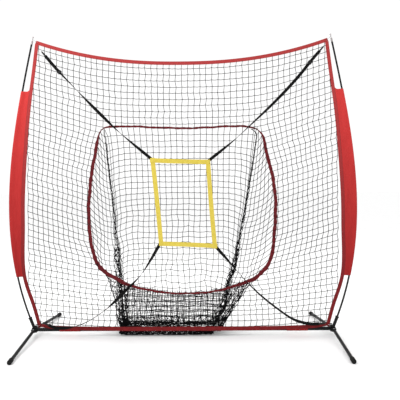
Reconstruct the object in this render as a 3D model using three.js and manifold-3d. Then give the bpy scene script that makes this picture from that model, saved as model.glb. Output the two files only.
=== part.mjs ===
// A free-standing pitching target net: two bowed poles stand in a folding steel base and stretch a net
// with a ball pocket, and four straps hold a strike-zone frame in front of the pocket's mouth.
// Millimetres, +Z up, X across the net, -Y towards the pitcher. The origin is on the ground, midway
// between the two base brackets.

import * as THREE from 'three';
import { mergeVertices } from 'three/addons/utils/BufferGeometryUtils.js';
import Module from 'manifold-3d';

const wasm = await Module();
wasm.setup();

const SIDES = { left: -1, right: 1 };
const ENDS = { front: -1, rear: 1 };
const GAP = 0.3; // between two pieces that touch
const PIN_SIDES = 12; // sides of a small round hole or pin

// Bottom bar: a centre tube, and two end tubes whose swaged spigots plug into it
const BRACKET_X = 1067;
const BAR_HEIGHT = 50;
const BAR_RADIUS = 12.5;
const BAR_WALL = 1.5;
const BAR_JOINT_X = 356;
const BAR_END_X = 1078;
const SPIGOT_LENGTH = 60;
const SPIGOT_RADIUS = BAR_RADIUS - BAR_WALL - GAP;
const SWAGE_LENGTH = 10;

// Spring button that locks each bar joint
const BUTTON_X = BAR_JOINT_X - SPIGOT_LENGTH / 2;
const BUTTON_RADIUS = 4;
const BUTTON_TOP = 15.2; // above the bar's axis
const BUTTON_DOME = { height: 2, shoulder: 1.4, shoulderRadius: 2.8 };
const BUTTON_FLANGE = { radius: 5.5, low: 4.5, high: 6.5 };

// Base bracket: a block with two fork plates for the legs and a socket for the pole
const CORE = { width: 34, depth: 40, height: 32 };
const PIVOT_Y = 38;
const PIVOT_RADIUS = 3;
const PLATE = { radius: 17, thickness: 4.6, inner: 4.4 }; // inner: from the bar's axis to the plate
const BAR_BOLT = { x: 1062, radius: 2.4, headRadius: 4, headHeight: 3.5 };
const SOCKET = { radius: 11, length: 92, floor: 30, collarRadius: 13, collarLength: 9 };
const RING_TAB = { x: 1057, z: 80, width: 14, thickness: 3, top: 88 };
const RIVET_HEAD_HEIGHT = 2.4;
const HEAD_CHAMFER = 0.8; // a pin head's crown, as a share of its radius

// Folding leg with its foot cap
const LEG_REACH = 492; // level distance from the pivot to the tip of the foot cap
const LEG_TOE_IN = THREE.MathUtils.degToRad(3);
const LEG_RADIUS = 11;
const LEG_WALL = 1.5;
const LEG_START = 21;
const TONGUE = { radius: 12, thickness: 8, length: 44, flatHalf: 9.5, tubeLap: 4, insideLap: 10 };
const CAP = { radius: 15, length: 45, floor: 7, edge: 8 };
const CAP_LIP = { step: 1, height: 1.5 };
const CAP_AXIS_HEIGHT = 14.2; // at the middle of the foot cap

// Bowed pole in three sections
const POLE_FOOT = { x: 1068, z: 52 };
const POLE_TOP = { x: 1066, z: 2158 };
const POLE_LEAN_FOOT = THREE.MathUtils.degToRad(23.5);
const POLE_LEAN_TOP = THREE.MathUtils.degToRad(12);
const POLE_HANDLE = 738;
const POLE_RADIUS = 5.5;
const POLE_FIT = 0.9; // round a bowed pole inside a bore
const POLE_SECTIONS = ['lower', 'middle', 'upper'];
const FERRULE = { radius: 7.3, length: 70 };
const TIP = { radius: 7.6, cap: 30, neckRadius: 2.8, neck: 20, headRadius: 7, head: 9, roof: 4, taper: 2 };
const TIP_CROWN = { rise: 1.5, shoulder: 3, crownRadius: 4.2, crown: 0.6 };

// Net outline: the inner edge of the side webbing from the ground up, as [x, z]
const SIDE_EDGE = [
  [1020, 66], [1060, 211], [1131, 440], [1137, 800], [1134, 1040], [1094, 1600], [1050, 1935], [1026, 2130],
];
const CORNER_X = 1026; // inner edge of the side webbing at the top corner
const FOOT_CORNER = { x: 1020, z: 67 };
const EDGE_DIVISIONS = 28;
const WEBBING = { width: 22, thickness: 4 };
const NET_TOP = { corner: 2128, middle: 1960, power: 2.3, halfWidth: 1048 };
const NET_THICKNESS = 2.4;
const NET_CLEARANCE = 0.9; // between the net's foot and the bottom webbing
const BOTTOM_WEBBING = { y: -17.5, thickness: 3, bendStart: 930, power: 4 };
const BOTTOM_MIDDLE = { z: 57, width: 30 };
const BOTTOM_END = { z: 78, width: 22 };
const CORNER_HOLE = { radius: 3.4, inset: 11, fromTop: 15, fromFoot: 12 };
const RING_WIRE = 1.5;
const WEBBING_STEPS = 36;
const TOP_STEPS = 20;

// Fabric sleeves round the poles and round the bar
const SLEEVE = { low: 430, high: 1775, bore: 8.8, radius: 10, thickness: 3.2 };
const BAR_SLEEVE = { from: 740, to: 888, thickness: 2.6, tabTop: 70, tabFront: -15.6 };

// Pocket mouth, anticlockwise from its lowest point, as [x, z]
const MOUTH_POINTS = [
  [0, 305], [210, 312], [432, 358], [560, 413], [636, 525], [668, 760], [663, 1060], [612, 1280], [560, 1460],
  [480, 1496], [0, 1490], [-455, 1505], [-572, 1488], [-625, 1310], [-662, 1080], [-673, 820], [-640, 620],
  [-565, 470], [-400, 368], [-200, 325],
];
const MOUTH_DIVISIONS = 56;
const MOUTH_BINDING = { width: 16, thickness: 6 };

// Pocket bag behind the mouth: front, top and side views of its outer shape
const BAG_WALL = 2.5;
const BAG_FRONT = [
  [272, 3], [305, 120], [402, 250], [480, 335], [578, 402], [654, 520], [686, 760], [681, 1065], [629, 1290],
  [580, 1470], [486, 1514], [-458, 1523], [-588, 1503], [-643, 1314], [-680, 1083], [-691, 820], [-657, 612],
  [-580, 458], [-505, 340], [-490, 250], [-472, 3],
];
const BAG_TOP_VIEW = [[695, 2], [682, 60], [575, 180], [490, 262]]; // half width against depth
const BAG_SIDE = [
  [4, 1523], [4, 130], [26, 82], [26, 34], [2, 34], [2, 3], [225, 3], [255, 50], [262, 250], [250, 600],
  [215, 1000], [130, 1350], [30, 1523],
];
const BAG_DEPTH = 3000; // longer than the bag in every direction
const MOUTH_CUT = 40;

// Strike zone and its straps, hung in front of the net
const ZONE_Y = -24;
const ZONE_CORNERS = [[-228, 1277], [-168, 650], [247, 630], [200, 1262]];
const ZONE_STRIP = { width: 32, thickness: 2.4 };
const STRAP = { width: 22, thickness: 2 };
const STRAP_ROUTES = {
  top_left: [
    [-233, -24, 1282], [-447, -24, 1463], [-620, -24, 1632], [-778, -24, 1796], [-896, -24, 1922],
    [-973, -24, 2013],
  ],
  top_right: [
    [205, -24, 1267], [370, -24, 1398], [482, -24, 1500], [672, -24, 1679], [825, -24, 1841],
    [937, -24, 1977], [984, -24, 2030],
  ],
  bottom_left: [
    [-173, -24, 645], [-230, -26, 548], [-303, -30, 440], [-397, -32, 344], [-476, -34, 266],
    [-555, -36, 197], [-680, -38, 116], [-771, -38, 82], [-860, -38, 70], [-926, -36, 78], [-960, -33, 92],
  ],
  bottom_right: [
    [251, -24, 625], [300, -26, 570], [358, -30, 502], [473, -32, 372], [570, -34, 281], [667, -36, 204],
    [775, -37, 130], [847, -37, 104], [910, -36, 92], [965, -34, 94],
  ],
};
const STRAP_STEPS = 24;
const SLIDER = { length: 20, width: 29, thickness: 8, slotWidth: 23.4, slotThickness: 3.4 };
const SLIDER_PLACE = { top_left: 0.85, top_right: 0.9 }; // along the strap, from the zone
const HOOK = { eyeRadius: 8, wire: 2, shank: 17, reach: 24, bend: 14, mouth: 2, point: 4 };

// ---- Materials ----

function finish(color, roughness, metalness = 0) {
  return new THREE.MeshStandardMaterial({ color, roughness, metalness });
}

const POWDER_COAT = finish(0x151516, 0.5, 0.3);
const RUBBER = finish(0x101010, 0.85);
const STEEL = finish(0xb4b6b8, 0.35, 1);
const FIBREGLASS = finish(0x2b2c2e, 0.45);
const CLEAR_PLASTIC = finish(0xc9cccc, 0.3);
const NET_CORD = finish(0x1c1c1e, 0.9);
const RED_WEBBING = finish(0xb42a2c, 0.8);
const RED_FABRIC = finish(0xd5302f, 0.55);
const MAROON_BINDING = finish(0x7c1f28, 0.8);
const YELLOW_WEBBING = finish(0xeccf3a, 0.8);
const BLACK_WEBBING = finish(0x141414, 0.8);
const BLACK_PLASTIC = finish(0x1a1a1b, 0.5);

// ---- Solids that can be joined and cut ----

function solid(geometry) {
  const bare = geometry.clone();
  bare.deleteAttribute('normal');
  bare.deleteAttribute('uv');
  const merged = mergeVertices(bare, 1e-4);
  const kept = [];
  for (let i = 0; i < merged.index.count; i += 3) {
    const [a, b, c] = [0, 1, 2].map((corner) => merged.index.getX(i + corner));
    if (a !== b && b !== c && c !== a) kept.push(a, b, c);
  }
  const mesh = new wasm.Mesh({
    numProp: 3,
    vertProperties: Float32Array.from(merged.attributes.position.array),
    triVerts: Uint32Array.from(kept),
  });
  return new wasm.Manifold(mesh);
}

function geometryOf(manifold) {
  const mesh = manifold.getMesh();
  const geometry = new THREE.BufferGeometry();
  geometry.setAttribute('position', new THREE.BufferAttribute(mesh.vertProperties, 3));
  geometry.setIndex(new THREE.BufferAttribute(mesh.triVerts, 1));
  return geometry;
}

// The first solid with the others joined to it
function joined(...geometries) {
  return geometries.map(solid).reduce((whole, part) => whole.add(part));
}

// A joined solid with each of the tools cut out of it, as a geometry
function cut(whole, ...tools) {
  return geometryOf(tools.map(solid).reduce((rest, tool) => rest.subtract(tool), whole));
}

// ---- Shapes ----

function block([x0, y0, z0], [x1, y1, z1]) {
  const box = new THREE.BoxGeometry(x1 - x0, y1 - y0, z1 - z0);
  return box.translate((x0 + x1) / 2, (y0 + y1) / 2, (z0 + z1) / 2);
}

// A block given by its middle and its whole sizes
function blockAt([x, y, z], [width, depth, height]) {
  return new THREE.BoxGeometry(width, depth, height).translate(x, y, z);
}

// Turns a geometry made along +Y to run along a direction from a point
function aimed(geometry, direction, origin) {
  const turn = new THREE.Quaternion().setFromUnitVectors(new THREE.Vector3(0, 1, 0), direction);
  return geometry.applyQuaternion(turn).translate(origin.x, origin.y, origin.z);
}

function rod(from, to, radius, sides = 16) {
  const a = new THREE.Vector3(...from);
  const b = new THREE.Vector3(...to);
  const length = a.distanceTo(b);
  const cylinder = new THREE.CylinderGeometry(radius, radius, length, sides).translate(0, length / 2, 0);
  return aimed(cylinder, b.clone().sub(a).normalize(), a);
}

// A turned piece from [radius, height] points that go up its outside
function turned(profile, sides = 16) {
  return new THREE.LatheGeometry(profile.map(([r, y]) => new THREE.Vector2(r, y)), sides);
}

function circle(radius) {
  return new THREE.Shape().absarc(0, 0, radius, 0, 2 * Math.PI, false);
}

function outline(points) {
  return new THREE.Shape(points.map(([x, y]) => new THREE.Vector2(x, y)));
}

// A flat sheet in the plane of the net, from a shape in X and Z
function sheet(shape, thickness, y = 0) {
  const geometry = new THREE.ExtrudeGeometry(shape, { depth: thickness, bevelEnabled: false });
  return geometry.rotateX(Math.PI / 2).translate(0, y + thickness / 2, 0);
}

// A prism across the net, from a shape in Y and Z
function prismAlongX(shape, length) {
  const geometry = new THREE.ExtrudeGeometry(shape, { depth: length, bevelEnabled: false });
  const basis = new THREE.Matrix4().makeBasis(
    new THREE.Vector3(0, 1, 0), new THREE.Vector3(0, 0, 1), new THREE.Vector3(1, 0, 0),
  );
  return geometry.applyMatrix4(basis).translate(-length / 2, 0, 0);
}

// Moves each point of a loop outwards, where the loop runs anticlockwise
function offsetLoop(points, distance) {
  const normalAfter = (i) => {
    const [x0, y0] = points[i];
    const [x1, y1] = points[(i + 1) % points.length];
    const length = Math.hypot(x1 - x0, y1 - y0);
    return [(y1 - y0) / length, (x0 - x1) / length];
  };
  return points.map(([x, y], i) => {
    const [ax, ay] = normalAfter((i + points.length - 1) % points.length);
    const [bx, by] = normalAfter(i);
    const scale = distance / (1 + ax * bx + ay * by);
    return [x + (ax + bx) * scale, y + (ay + by) * scale];
  });
}

function spread(from, to, count) {
  return Array.from({ length: count + 1 }, (_, i) => from + ((to - from) * i) / count);
}

// The stretch of a curve between two distances along it
class CurvePart extends THREE.Curve {
  constructor(curve, from, to) {
    super();
    this.curve = curve;
    this.start = from / curve.getLength();
    this.end = to / curve.getLength();
  }

  getPoint(t, target = new THREE.Vector3()) {
    return this.curve.getPointAt(THREE.MathUtils.lerp(this.start, this.end, t), target);
  }
}

function rodAlong(curve, from, to, radius, { bore = 0, steps = 10, curveSegments = 6 } = {}) {
  const shape = circle(radius);
  if (bore > 0) shape.holes.push(new THREE.Path().absarc(0, 0, bore, 0, 2 * Math.PI, true));
  const extrudePath = new CurvePart(curve, from, to);
  return new THREE.ExtrudeGeometry(shape, { extrudePath, steps, curveSegments, bevelEnabled: false });
}

// ---- The model ----

const net = new THREE.Group();

function add(name, geometry, material, parent = net) {
  const mesh = new THREE.Mesh(geometry, material);
  mesh.name = name;
  parent.add(mesh);
  return mesh;
}

// ---- Bottom bar ----

function buttonHole(side) {
  const x = side * BUTTON_X;
  return rod([x, 0, BAR_HEIGHT], [x, 0, BAR_HEIGHT + 2 * BAR_RADIUS], BUTTON_RADIUS + GAP);
}

function boltHole(side) {
  const x = side * BAR_BOLT.x;
  return rod([x, -CORE.depth, BAR_HEIGHT], [x, CORE.depth, BAR_HEIGHT], BAR_BOLT.radius + GAP, PIN_SIDES);
}

function barEnd(side) {
  const inside = BAR_RADIUS - BAR_WALL;
  const spigotBore = SPIGOT_RADIUS - BAR_WALL;
  const shoulder = BAR_JOINT_X + GAP;
  const profile = [
    [spigotBore, BAR_JOINT_X - SPIGOT_LENGTH],
    [SPIGOT_RADIUS, BAR_JOINT_X - SPIGOT_LENGTH],
    [SPIGOT_RADIUS, shoulder],
    [BAR_RADIUS, shoulder],
    [BAR_RADIUS, BAR_END_X],
    [inside, BAR_END_X],
    [inside, shoulder + SWAGE_LENGTH / 2],
    [spigotBore, shoulder - SWAGE_LENGTH / 2],
    [spigotBore, BAR_JOINT_X - SPIGOT_LENGTH],
  ];
  const tube = turned(profile).rotateZ((-side * Math.PI) / 2).translate(0, 0, BAR_HEIGHT);
  return cut(solid(tube), buttonHole(side), boltHole(side));
}

function barCentre() {
  const inside = BAR_RADIUS - BAR_WALL;
  const profile = [
    [inside, -BAR_JOINT_X], [BAR_RADIUS, -BAR_JOINT_X], [BAR_RADIUS, BAR_JOINT_X], [inside, BAR_JOINT_X],
    [inside, -BAR_JOINT_X],
  ];
  const tube = turned(profile).rotateZ(-Math.PI / 2).translate(0, 0, BAR_HEIGHT);
  return cut(solid(tube), buttonHole(-1), buttonHole(1));
}

function springButton(side) {
  const profile = [
    [0, BUTTON_FLANGE.low],
    [BUTTON_FLANGE.radius, BUTTON_FLANGE.low],
    [BUTTON_FLANGE.radius, BUTTON_FLANGE.high],
    [BUTTON_RADIUS, BUTTON_FLANGE.high],
    [BUTTON_RADIUS, BUTTON_TOP - BUTTON_DOME.height],
    [BUTTON_DOME.shoulderRadius, BUTTON_TOP - BUTTON_DOME.height + BUTTON_DOME.shoulder],
    [0, BUTTON_TOP],
  ];
  return turned(profile).rotateX(Math.PI / 2).translate(side * BUTTON_X, 0, BAR_HEIGHT);
}

add('bar_centre', barCentre(), POWDER_COAT);
for (const [sideName, side] of Object.entries(SIDES)) {
  add(`bar_end_${sideName}`, barEnd(side), POWDER_COAT);
  add(`bar_button_${sideName}`, springButton(side), STEEL);
}

// ---- Base brackets, with the bolts and rivets that they hold ----

function bow(side) {
  const foot = new THREE.Vector3(side * POLE_FOOT.x, 0, POLE_FOOT.z);
  const top = new THREE.Vector3(side * POLE_TOP.x, 0, POLE_TOP.z);
  const rise = new THREE.Vector3(side * Math.sin(POLE_LEAN_FOOT), 0, Math.cos(POLE_LEAN_FOOT));
  const arrive = new THREE.Vector3(-side * Math.sin(POLE_LEAN_TOP), 0, Math.cos(POLE_LEAN_TOP));
  const afterFoot = foot.clone().addScaledVector(rise, POLE_HANDLE);
  const beforeTop = top.clone().addScaledVector(arrive, -POLE_HANDLE);
  return new THREE.CubicBezierCurve3(foot, afterFoot, beforeTop, top);
}

const BOWS = { left: bow(SIDES.left), right: bow(SIDES.right) };
const BOW_LENGTH = BOWS.right.getLength();

function forkPlate(side, low) {
  const shape = new THREE.Shape();
  shape.absarc(0, PIVOT_Y, PLATE.radius, 0, Math.PI, false);
  shape.absarc(0, -PIVOT_Y, PLATE.radius, Math.PI, 2 * Math.PI, false);
  const settings = { depth: PLATE.thickness, curveSegments: 5, bevelEnabled: false };
  return new THREE.ExtrudeGeometry(shape, settings).translate(side * BRACKET_X, 0, low);
}

function bracket(side, curve) {
  const core = blockAt([side * BRACKET_X, 0, BAR_HEIGHT], [CORE.width, CORE.depth, CORE.height]);
  const upperPlate = forkPlate(side, BAR_HEIGHT + PLATE.inner);
  const lowerPlate = forkPlate(side, BAR_HEIGHT - PLATE.inner - PLATE.thickness);
  const socket = rodAlong(curve, 0, SOCKET.length, SOCKET.radius, { steps: 2, curveSegments: 8 });
  const collar = rodAlong(curve, SOCKET.length - SOCKET.collarLength, SOCKET.length, SOCKET.collarRadius, {
    steps: 1, curveSegments: 8,
  });
  const tab = blockAt(
    [side * RING_TAB.x, 0, (BAR_HEIGHT + RING_TAB.top) / 2],
    [RING_TAB.width, RING_TAB.thickness, RING_TAB.top - BAR_HEIGHT],
  );
  const mouthX = BRACKET_X - CORE.width;
  const barBore = rod(
    [side * mouthX, 0, BAR_HEIGHT], [side * (BAR_END_X + GAP), 0, BAR_HEIGHT], BAR_RADIUS + GAP,
  );
  const pastSocket = SOCKET.length + SOCKET.collarLength;
  const poleBore = rodAlong(curve, SOCKET.floor, pastSocket, POLE_RADIUS + POLE_FIT, { steps: 2 });
  const pivotHoles = Object.values(ENDS).map((end) => {
    const [x, y] = [side * BRACKET_X, end * PIVOT_Y];
    return rod([x, y, 0], [x, y, 2 * BAR_HEIGHT], PIVOT_RADIUS + GAP, PIN_SIDES);
  });
  const tabX = side * RING_TAB.x;
  const tabHole = rod(
    [tabX, -CORE.depth, RING_TAB.z], [tabX, CORE.depth, RING_TAB.z], CORNER_HOLE.radius, PIN_SIDES,
  );
  const whole = joined(core, upperPlate, lowerPlate, socket, collar, tab);
  return cut(whole, barBore, poleBore, boltHole(side), ...pivotHoles, tabHole);
}

// A shank with a head at each end, along +Y and centred on the origin
function headedPin(halfGrip, radius, headRadius, headHeight) {
  const inner = halfGrip + GAP;
  const outer = inner + headHeight;
  const crown = headRadius * HEAD_CHAMFER;
  return turned([
    [0, -outer], [crown, -outer], [headRadius, -outer + headHeight / 2], [headRadius, -inner],
    [radius, -inner], [radius, inner],
    [headRadius, inner], [headRadius, outer - headHeight / 2], [crown, outer], [0, outer],
  ], PIN_SIDES);
}

for (const [sideName, side] of Object.entries(SIDES)) {
  add(`base_bracket_${sideName}`, bracket(side, BOWS[sideName]), POWDER_COAT);
  const bolt = headedPin(CORE.depth / 2, BAR_BOLT.radius, BAR_BOLT.headRadius, BAR_BOLT.headHeight);
  add(`bar_bolt_${sideName}`, bolt, STEEL).position.set(side * BAR_BOLT.x, 0, BAR_HEIGHT);
  for (const [endName, end] of Object.entries(ENDS)) {
    const grip = PLATE.inner + PLATE.thickness;
    const rivet = headedPin(grip, PIVOT_RADIUS, 2 * PIVOT_RADIUS, RIVET_HEAD_HEIGHT).rotateX(Math.PI / 2);
    const mesh = add(`leg_rivet_${endName}_${sideName}`, rivet, STEEL);
    mesh.position.set(side * BRACKET_X, end * PIVOT_Y, BAR_HEIGHT);
  }
}

// ---- Folding legs: made along +X from the pivot, drooping to the ground ----

const LEG_DROOP = Math.atan((BAR_HEIGHT - CAP_AXIS_HEIGHT) / (LEG_REACH - CAP.length / 2));
const LEG_AXIS = new THREE.Vector3(Math.cos(LEG_DROOP), 0, -Math.sin(LEG_DROOP));
const LEG_END = (LEG_REACH - CAP.floor) / Math.cos(LEG_DROOP);

function alongLeg(distance) {
  return LEG_AXIS.clone().multiplyScalar(distance).toArray();
}

// A tube with a flat tongue let into its end, and an eye at the tongue's tip for the rivet
function leg() {
  const half = TONGUE.thickness / 2;
  const boreStart = LEG_START + TONGUE.tubeLap;
  const eye = rod([0, 0, -half], [0, 0, half], TONGUE.radius);
  const stub = block([0, -TONGUE.radius, -half], [boreStart, TONGUE.radius, half]);
  const tongueEnd = TONGUE.length + TONGUE.insideLap;
  const tongue = block([boreStart, -TONGUE.flatHalf, -half], [tongueEnd, TONGUE.flatHalf, half]);
  const tube = solid(rod(alongLeg(LEG_START), alongLeg(LEG_END), LEG_RADIUS));
  const bore = solid(rod(alongLeg(boreStart), alongLeg(LEG_END + LEG_WALL), LEG_RADIUS - LEG_WALL));
  const whole = tube.subtract(bore).add(joined(eye, stub, tongue));
  return cut(whole, rod([0, 0, -2 * half], [0, 0, 2 * half], PIVOT_RADIUS + GAP, PIN_SIDES));
}

function footCap() {
  const bore = LEG_RADIUS + GAP;
  const base = CAP.length - CAP.floor;
  const lip = [[CAP.radius - CAP_LIP.step, 0], [CAP.radius, CAP_LIP.height]];
  const profile = [[0, base], [bore, base], [bore, 0], ...lip];
  for (const turn of spread(0, Math.PI / 2, 3)) {
    const radius = CAP.radius - CAP.edge * (1 - Math.cos(turn));
    profile.push([radius, CAP.length - CAP.edge * (1 - Math.sin(turn))]);
  }
  profile.push([0, CAP.length]);
  const distance = LEG_REACH / Math.cos(LEG_DROOP) - CAP.length;
  const cap = aimed(turned(profile), LEG_AXIS, new THREE.Vector3(...alongLeg(distance)));
  const ground = block([0, -CAP.length, -2 * BAR_HEIGHT], [2 * LEG_REACH, CAP.length, -BAR_HEIGHT]);
  return cut(solid(cap), ground);
}

for (const [sideName, side] of Object.entries(SIDES)) {
  for (const [endName, end] of Object.entries(ENDS)) {
    const pivot = new THREE.Group();
    pivot.position.set(side * BRACKET_X, end * PIVOT_Y, BAR_HEIGHT);
    pivot.rotation.z = Math.atan2(end * Math.cos(LEG_TOE_IN), -side * Math.sin(LEG_TOE_IN));
    add(`leg_${endName}_${sideName}`, leg(), POWDER_COAT, pivot);
    add(`foot_cap_${endName}_${sideName}`, footCap(), RUBBER, pivot);
    net.add(pivot);
  }
}

// ---- Bowed poles ----

function poleTip(curve) {
  const capEnd = TIP.cap;
  const neckEnd = capEnd + TIP.neck;
  const headEnd = neckEnd + TIP.head;
  const bore = POLE_RADIUS + POLE_FIT;
  const roof = capEnd - TIP.roof;
  const profile = [
    [0, roof], [bore, roof], [bore, 0], [TIP.radius, 0], [TIP.radius, capEnd - TIP.taper],
    [TIP.neckRadius, capEnd], [TIP.neckRadius, neckEnd], [TIP.headRadius, neckEnd + TIP_CROWN.rise],
    [TIP.headRadius, headEnd - TIP_CROWN.shoulder], [TIP_CROWN.crownRadius, headEnd - TIP_CROWN.crown],
    [0, headEnd],
  ];
  const at = (BOW_LENGTH - headEnd) / BOW_LENGTH;
  return aimed(turned(profile), curve.getTangentAt(at), curve.getPointAt(at));
}

const POLE_START = SOCKET.floor + GAP;
const POLE_END = BOW_LENGTH - TIP.head - TIP.neck - TIP.roof - GAP;
const POLE_JOINTS = spread(POLE_START, POLE_END, POLE_SECTIONS.length);

for (const sideName of Object.keys(SIDES)) {
  const curve = BOWS[sideName];
  POLE_SECTIONS.forEach((sectionName, i) => {
    const pole = rodAlong(curve, POLE_JOINTS[i] + GAP / 2, POLE_JOINTS[i + 1] - GAP / 2, POLE_RADIUS);
    add(`pole_${sectionName}_${sideName}`, pole, FIBREGLASS);
  });
  POLE_JOINTS.slice(1, -1).forEach((joint, i) => {
    const half = FERRULE.length / 2;
    const sleeve = rodAlong(curve, joint - half, joint + half, FERRULE.radius, {
      bore: POLE_RADIUS + POLE_FIT, steps: 2,
    });
    add(`pole_ferrule_${i === 0 ? 'lower' : 'upper'}_${sideName}`, sleeve, STEEL);
  });
  add(`pole_tip_${sideName}`, poleTip(curve), CLEAR_PLASTIC);
}

// ---- Webbing round the net ----

const EDGE_CURVE = new THREE.SplineCurve(SIDE_EDGE.map(([x, z]) => new THREE.Vector2(x, z)));
const EDGE_POINTS = EDGE_CURVE.getPoints(EDGE_DIVISIONS);

// Every height at which the side edge turns between two heights, and both of those
function edgeHeights(low, high) {
  const between = EDGE_POINTS.map((point) => point.y).filter((y) => y > low + 1 && y < high - 1);
  return [low, ...between, high];
}

function sideEdge(height) {
  const i = Math.max(1, EDGE_POINTS.findIndex((point) => point.y >= height));
  const [a, b] = [EDGE_POINTS[i - 1], EDGE_POINTS[i]];
  return THREE.MathUtils.mapLinear(height, a.y, b.y, a.x, b.x);
}

function topEdge(x) {
  const rise = NET_TOP.corner - NET_TOP.middle;
  return NET_TOP.middle + rise * Math.min(1, Math.abs(x) / NET_TOP.halfWidth) ** NET_TOP.power;
}

function topWebbing() {
  const across = spread(-CORNER_X + GAP, CORNER_X - GAP, TOP_STEPS);
  const lower = across.map((x) => [x, topEdge(x) - WEBBING.width]);
  const upper = across.map((x) => [x, topEdge(x)]).reverse();
  return sheet(outline([...lower, ...upper]), WEBBING.thickness);
}

function sideWebbing(side) {
  const heights = edgeHeights(FOOT_CORNER.z, topEdge(CORNER_X));
  const inner = heights.map((z) => [side * sideEdge(z), z]);
  const outer = heights.map((z) => [side * (sideEdge(z) + WEBBING.width), z]);
  outer[outer.length - 1][1] = NET_TOP.corner;
  const band = solid(sheet(outline([...outer, ...inner.reverse()]), WEBBING.thickness));
  const holes = Object.values(cornerHoles()).map(([x, z]) => {
    const [front, back] = [-WEBBING.thickness, WEBBING.thickness];
    return rod([side * x, front, z], [side * x, back, z], CORNER_HOLE.radius, PIN_SIDES);
  });
  return cut(band, ...holes);
}

// Where the corner rings pass through the side webbing, as [x, z] on the right
function cornerHoles() {
  const inset = CORNER_HOLE.inset;
  const top = NET_TOP.corner - CORNER_HOLE.fromTop;
  const bottom = FOOT_CORNER.z + CORNER_HOLE.fromFoot;
  return { top: [sideEdge(top) + inset, top], bottom: [sideEdge(bottom) + inset, bottom] };
}

// The height of the bottom webbing's middle line or of an edge, from its half width
function bottomWebbingHeight(x, edge = 0) {
  const share = (Math.abs(x) / FOOT_CORNER.x) ** BOTTOM_WEBBING.power;
  const middle = THREE.MathUtils.lerp(BOTTOM_MIDDLE.z, BOTTOM_END.z, share);
  return middle + (edge * THREE.MathUtils.lerp(BOTTOM_MIDDLE.width, BOTTOM_END.width, share)) / 2;
}

function bottomWebbing() {
  const across = spread(-FOOT_CORNER.x + GAP, FOOT_CORNER.x - GAP, WEBBING_STEPS);
  const lower = across.map((x) => [x, bottomWebbingHeight(x, -1)]);
  const upper = across.map((x) => [x, bottomWebbingHeight(x, 1)]).reverse();
  const front = solid(sheet(outline([...lower, ...upper]), 2 * BAR_HEIGHT));
  const forward = (x) => {
    const bend = THREE.MathUtils.smoothstep(Math.abs(x), BOTTOM_WEBBING.bendStart, FOOT_CORNER.x);
    return BOTTOM_WEBBING.y * (1 - bend);
  };
  const near = across.map((x) => [x, forward(x) - BOTTOM_WEBBING.thickness / 2]);
  const far = across.map((x) => [x, forward(x) + BOTTOM_WEBBING.thickness / 2]).reverse();
  const shape = outline([...near, ...far]);
  const plan = new THREE.ExtrudeGeometry(shape, { depth: 3 * BAR_HEIGHT, bevelEnabled: false });
  return geometryOf(front.intersect(solid(plan)));
}

add('webbing_top', topWebbing(), RED_WEBBING);
add('webbing_bottom', bottomWebbing(), RED_WEBBING);
for (const [sideName, side] of Object.entries(SIDES)) {
  add(`webbing_side_${sideName}`, sideWebbing(side), RED_WEBBING);
}

// ---- Rings that tie the net's corners to the pole tips and to the base brackets ----

// A ring through two points of the net's plane, square to that plane
function ring([x0, z0], [x1, z1]) {
  const radius = Math.hypot(x1 - x0, z1 - z0) / 2;
  const geometry = new THREE.TorusGeometry(radius, RING_WIRE, 6, 20);
  geometry.rotateY(-Math.atan2(z1 - z0, x1 - x0));
  return geometry.translate((x0 + x1) / 2, 0, (z0 + z1) / 2);
}

for (const [sideName, side] of Object.entries(SIDES)) {
  const holes = cornerHoles();
  const neckAt = (BOW_LENGTH - TIP.head - TIP.neck / 2) / BOW_LENGTH;
  const neck = BOWS.right.getPointAt(neckAt);
  const toNeck = new THREE.Vector2(neck.x - holes.top[0], neck.z - holes.top[1]);
  toNeck.setLength(toNeck.length() + TIP.neckRadius + RING_WIRE + 2 * GAP);
  const beyondNeck = [holes.top[0] + toNeck.x, holes.top[1] + toNeck.y];
  const mirrored = ([x, z]) => [side * x, z];
  add(`corner_ring_top_${sideName}`, ring(mirrored(holes.top), mirrored(beyondNeck)), STEEL);
  const tabHole = mirrored([RING_TAB.x, RING_TAB.z]);
  add(`corner_ring_bottom_${sideName}`, ring(mirrored(holes.bottom), tabHole), STEEL);
}

// ---- Fabric sleeves ----

const ARC_TOLERANCE = 1e-5; // as a share of the curve

function arcAtHeight(curve, height) {
  let [low, high] = [0, 1];
  while (high - low > ARC_TOLERANCE) {
    const middle = (low + high) / 2;
    if (curve.getPointAt(middle).z < height) low = middle;
    else high = middle;
  }
  return low * curve.getLength();
}

function poleSleeve(side, curve) {
  const heights = edgeHeights(SLEEVE.low, SLEEVE.high);
  const inner = heights.map((z) => [side * (sideEdge(z) + WEBBING.width + GAP), z]);
  const outer = heights.map((z) => [curve.getPointAt(arcAtHeight(curve, z) / BOW_LENGTH).x, z]);
  const panel = sheet(outline([...outer, ...inner.reverse()]), SLEEVE.thickness);
  const [from, to] = [arcAtHeight(curve, SLEEVE.low), arcAtHeight(curve, SLEEVE.high)];
  const shape = { steps: 14, curveSegments: 5 };
  const wrap = rodAlong(curve, from, to, SLEEVE.radius, shape);
  const bore = rodAlong(curve, from - SOCKET.length, to + SOCKET.length, SLEEVE.bore, shape);
  return cut(joined(panel, wrap), bore);
}

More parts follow.
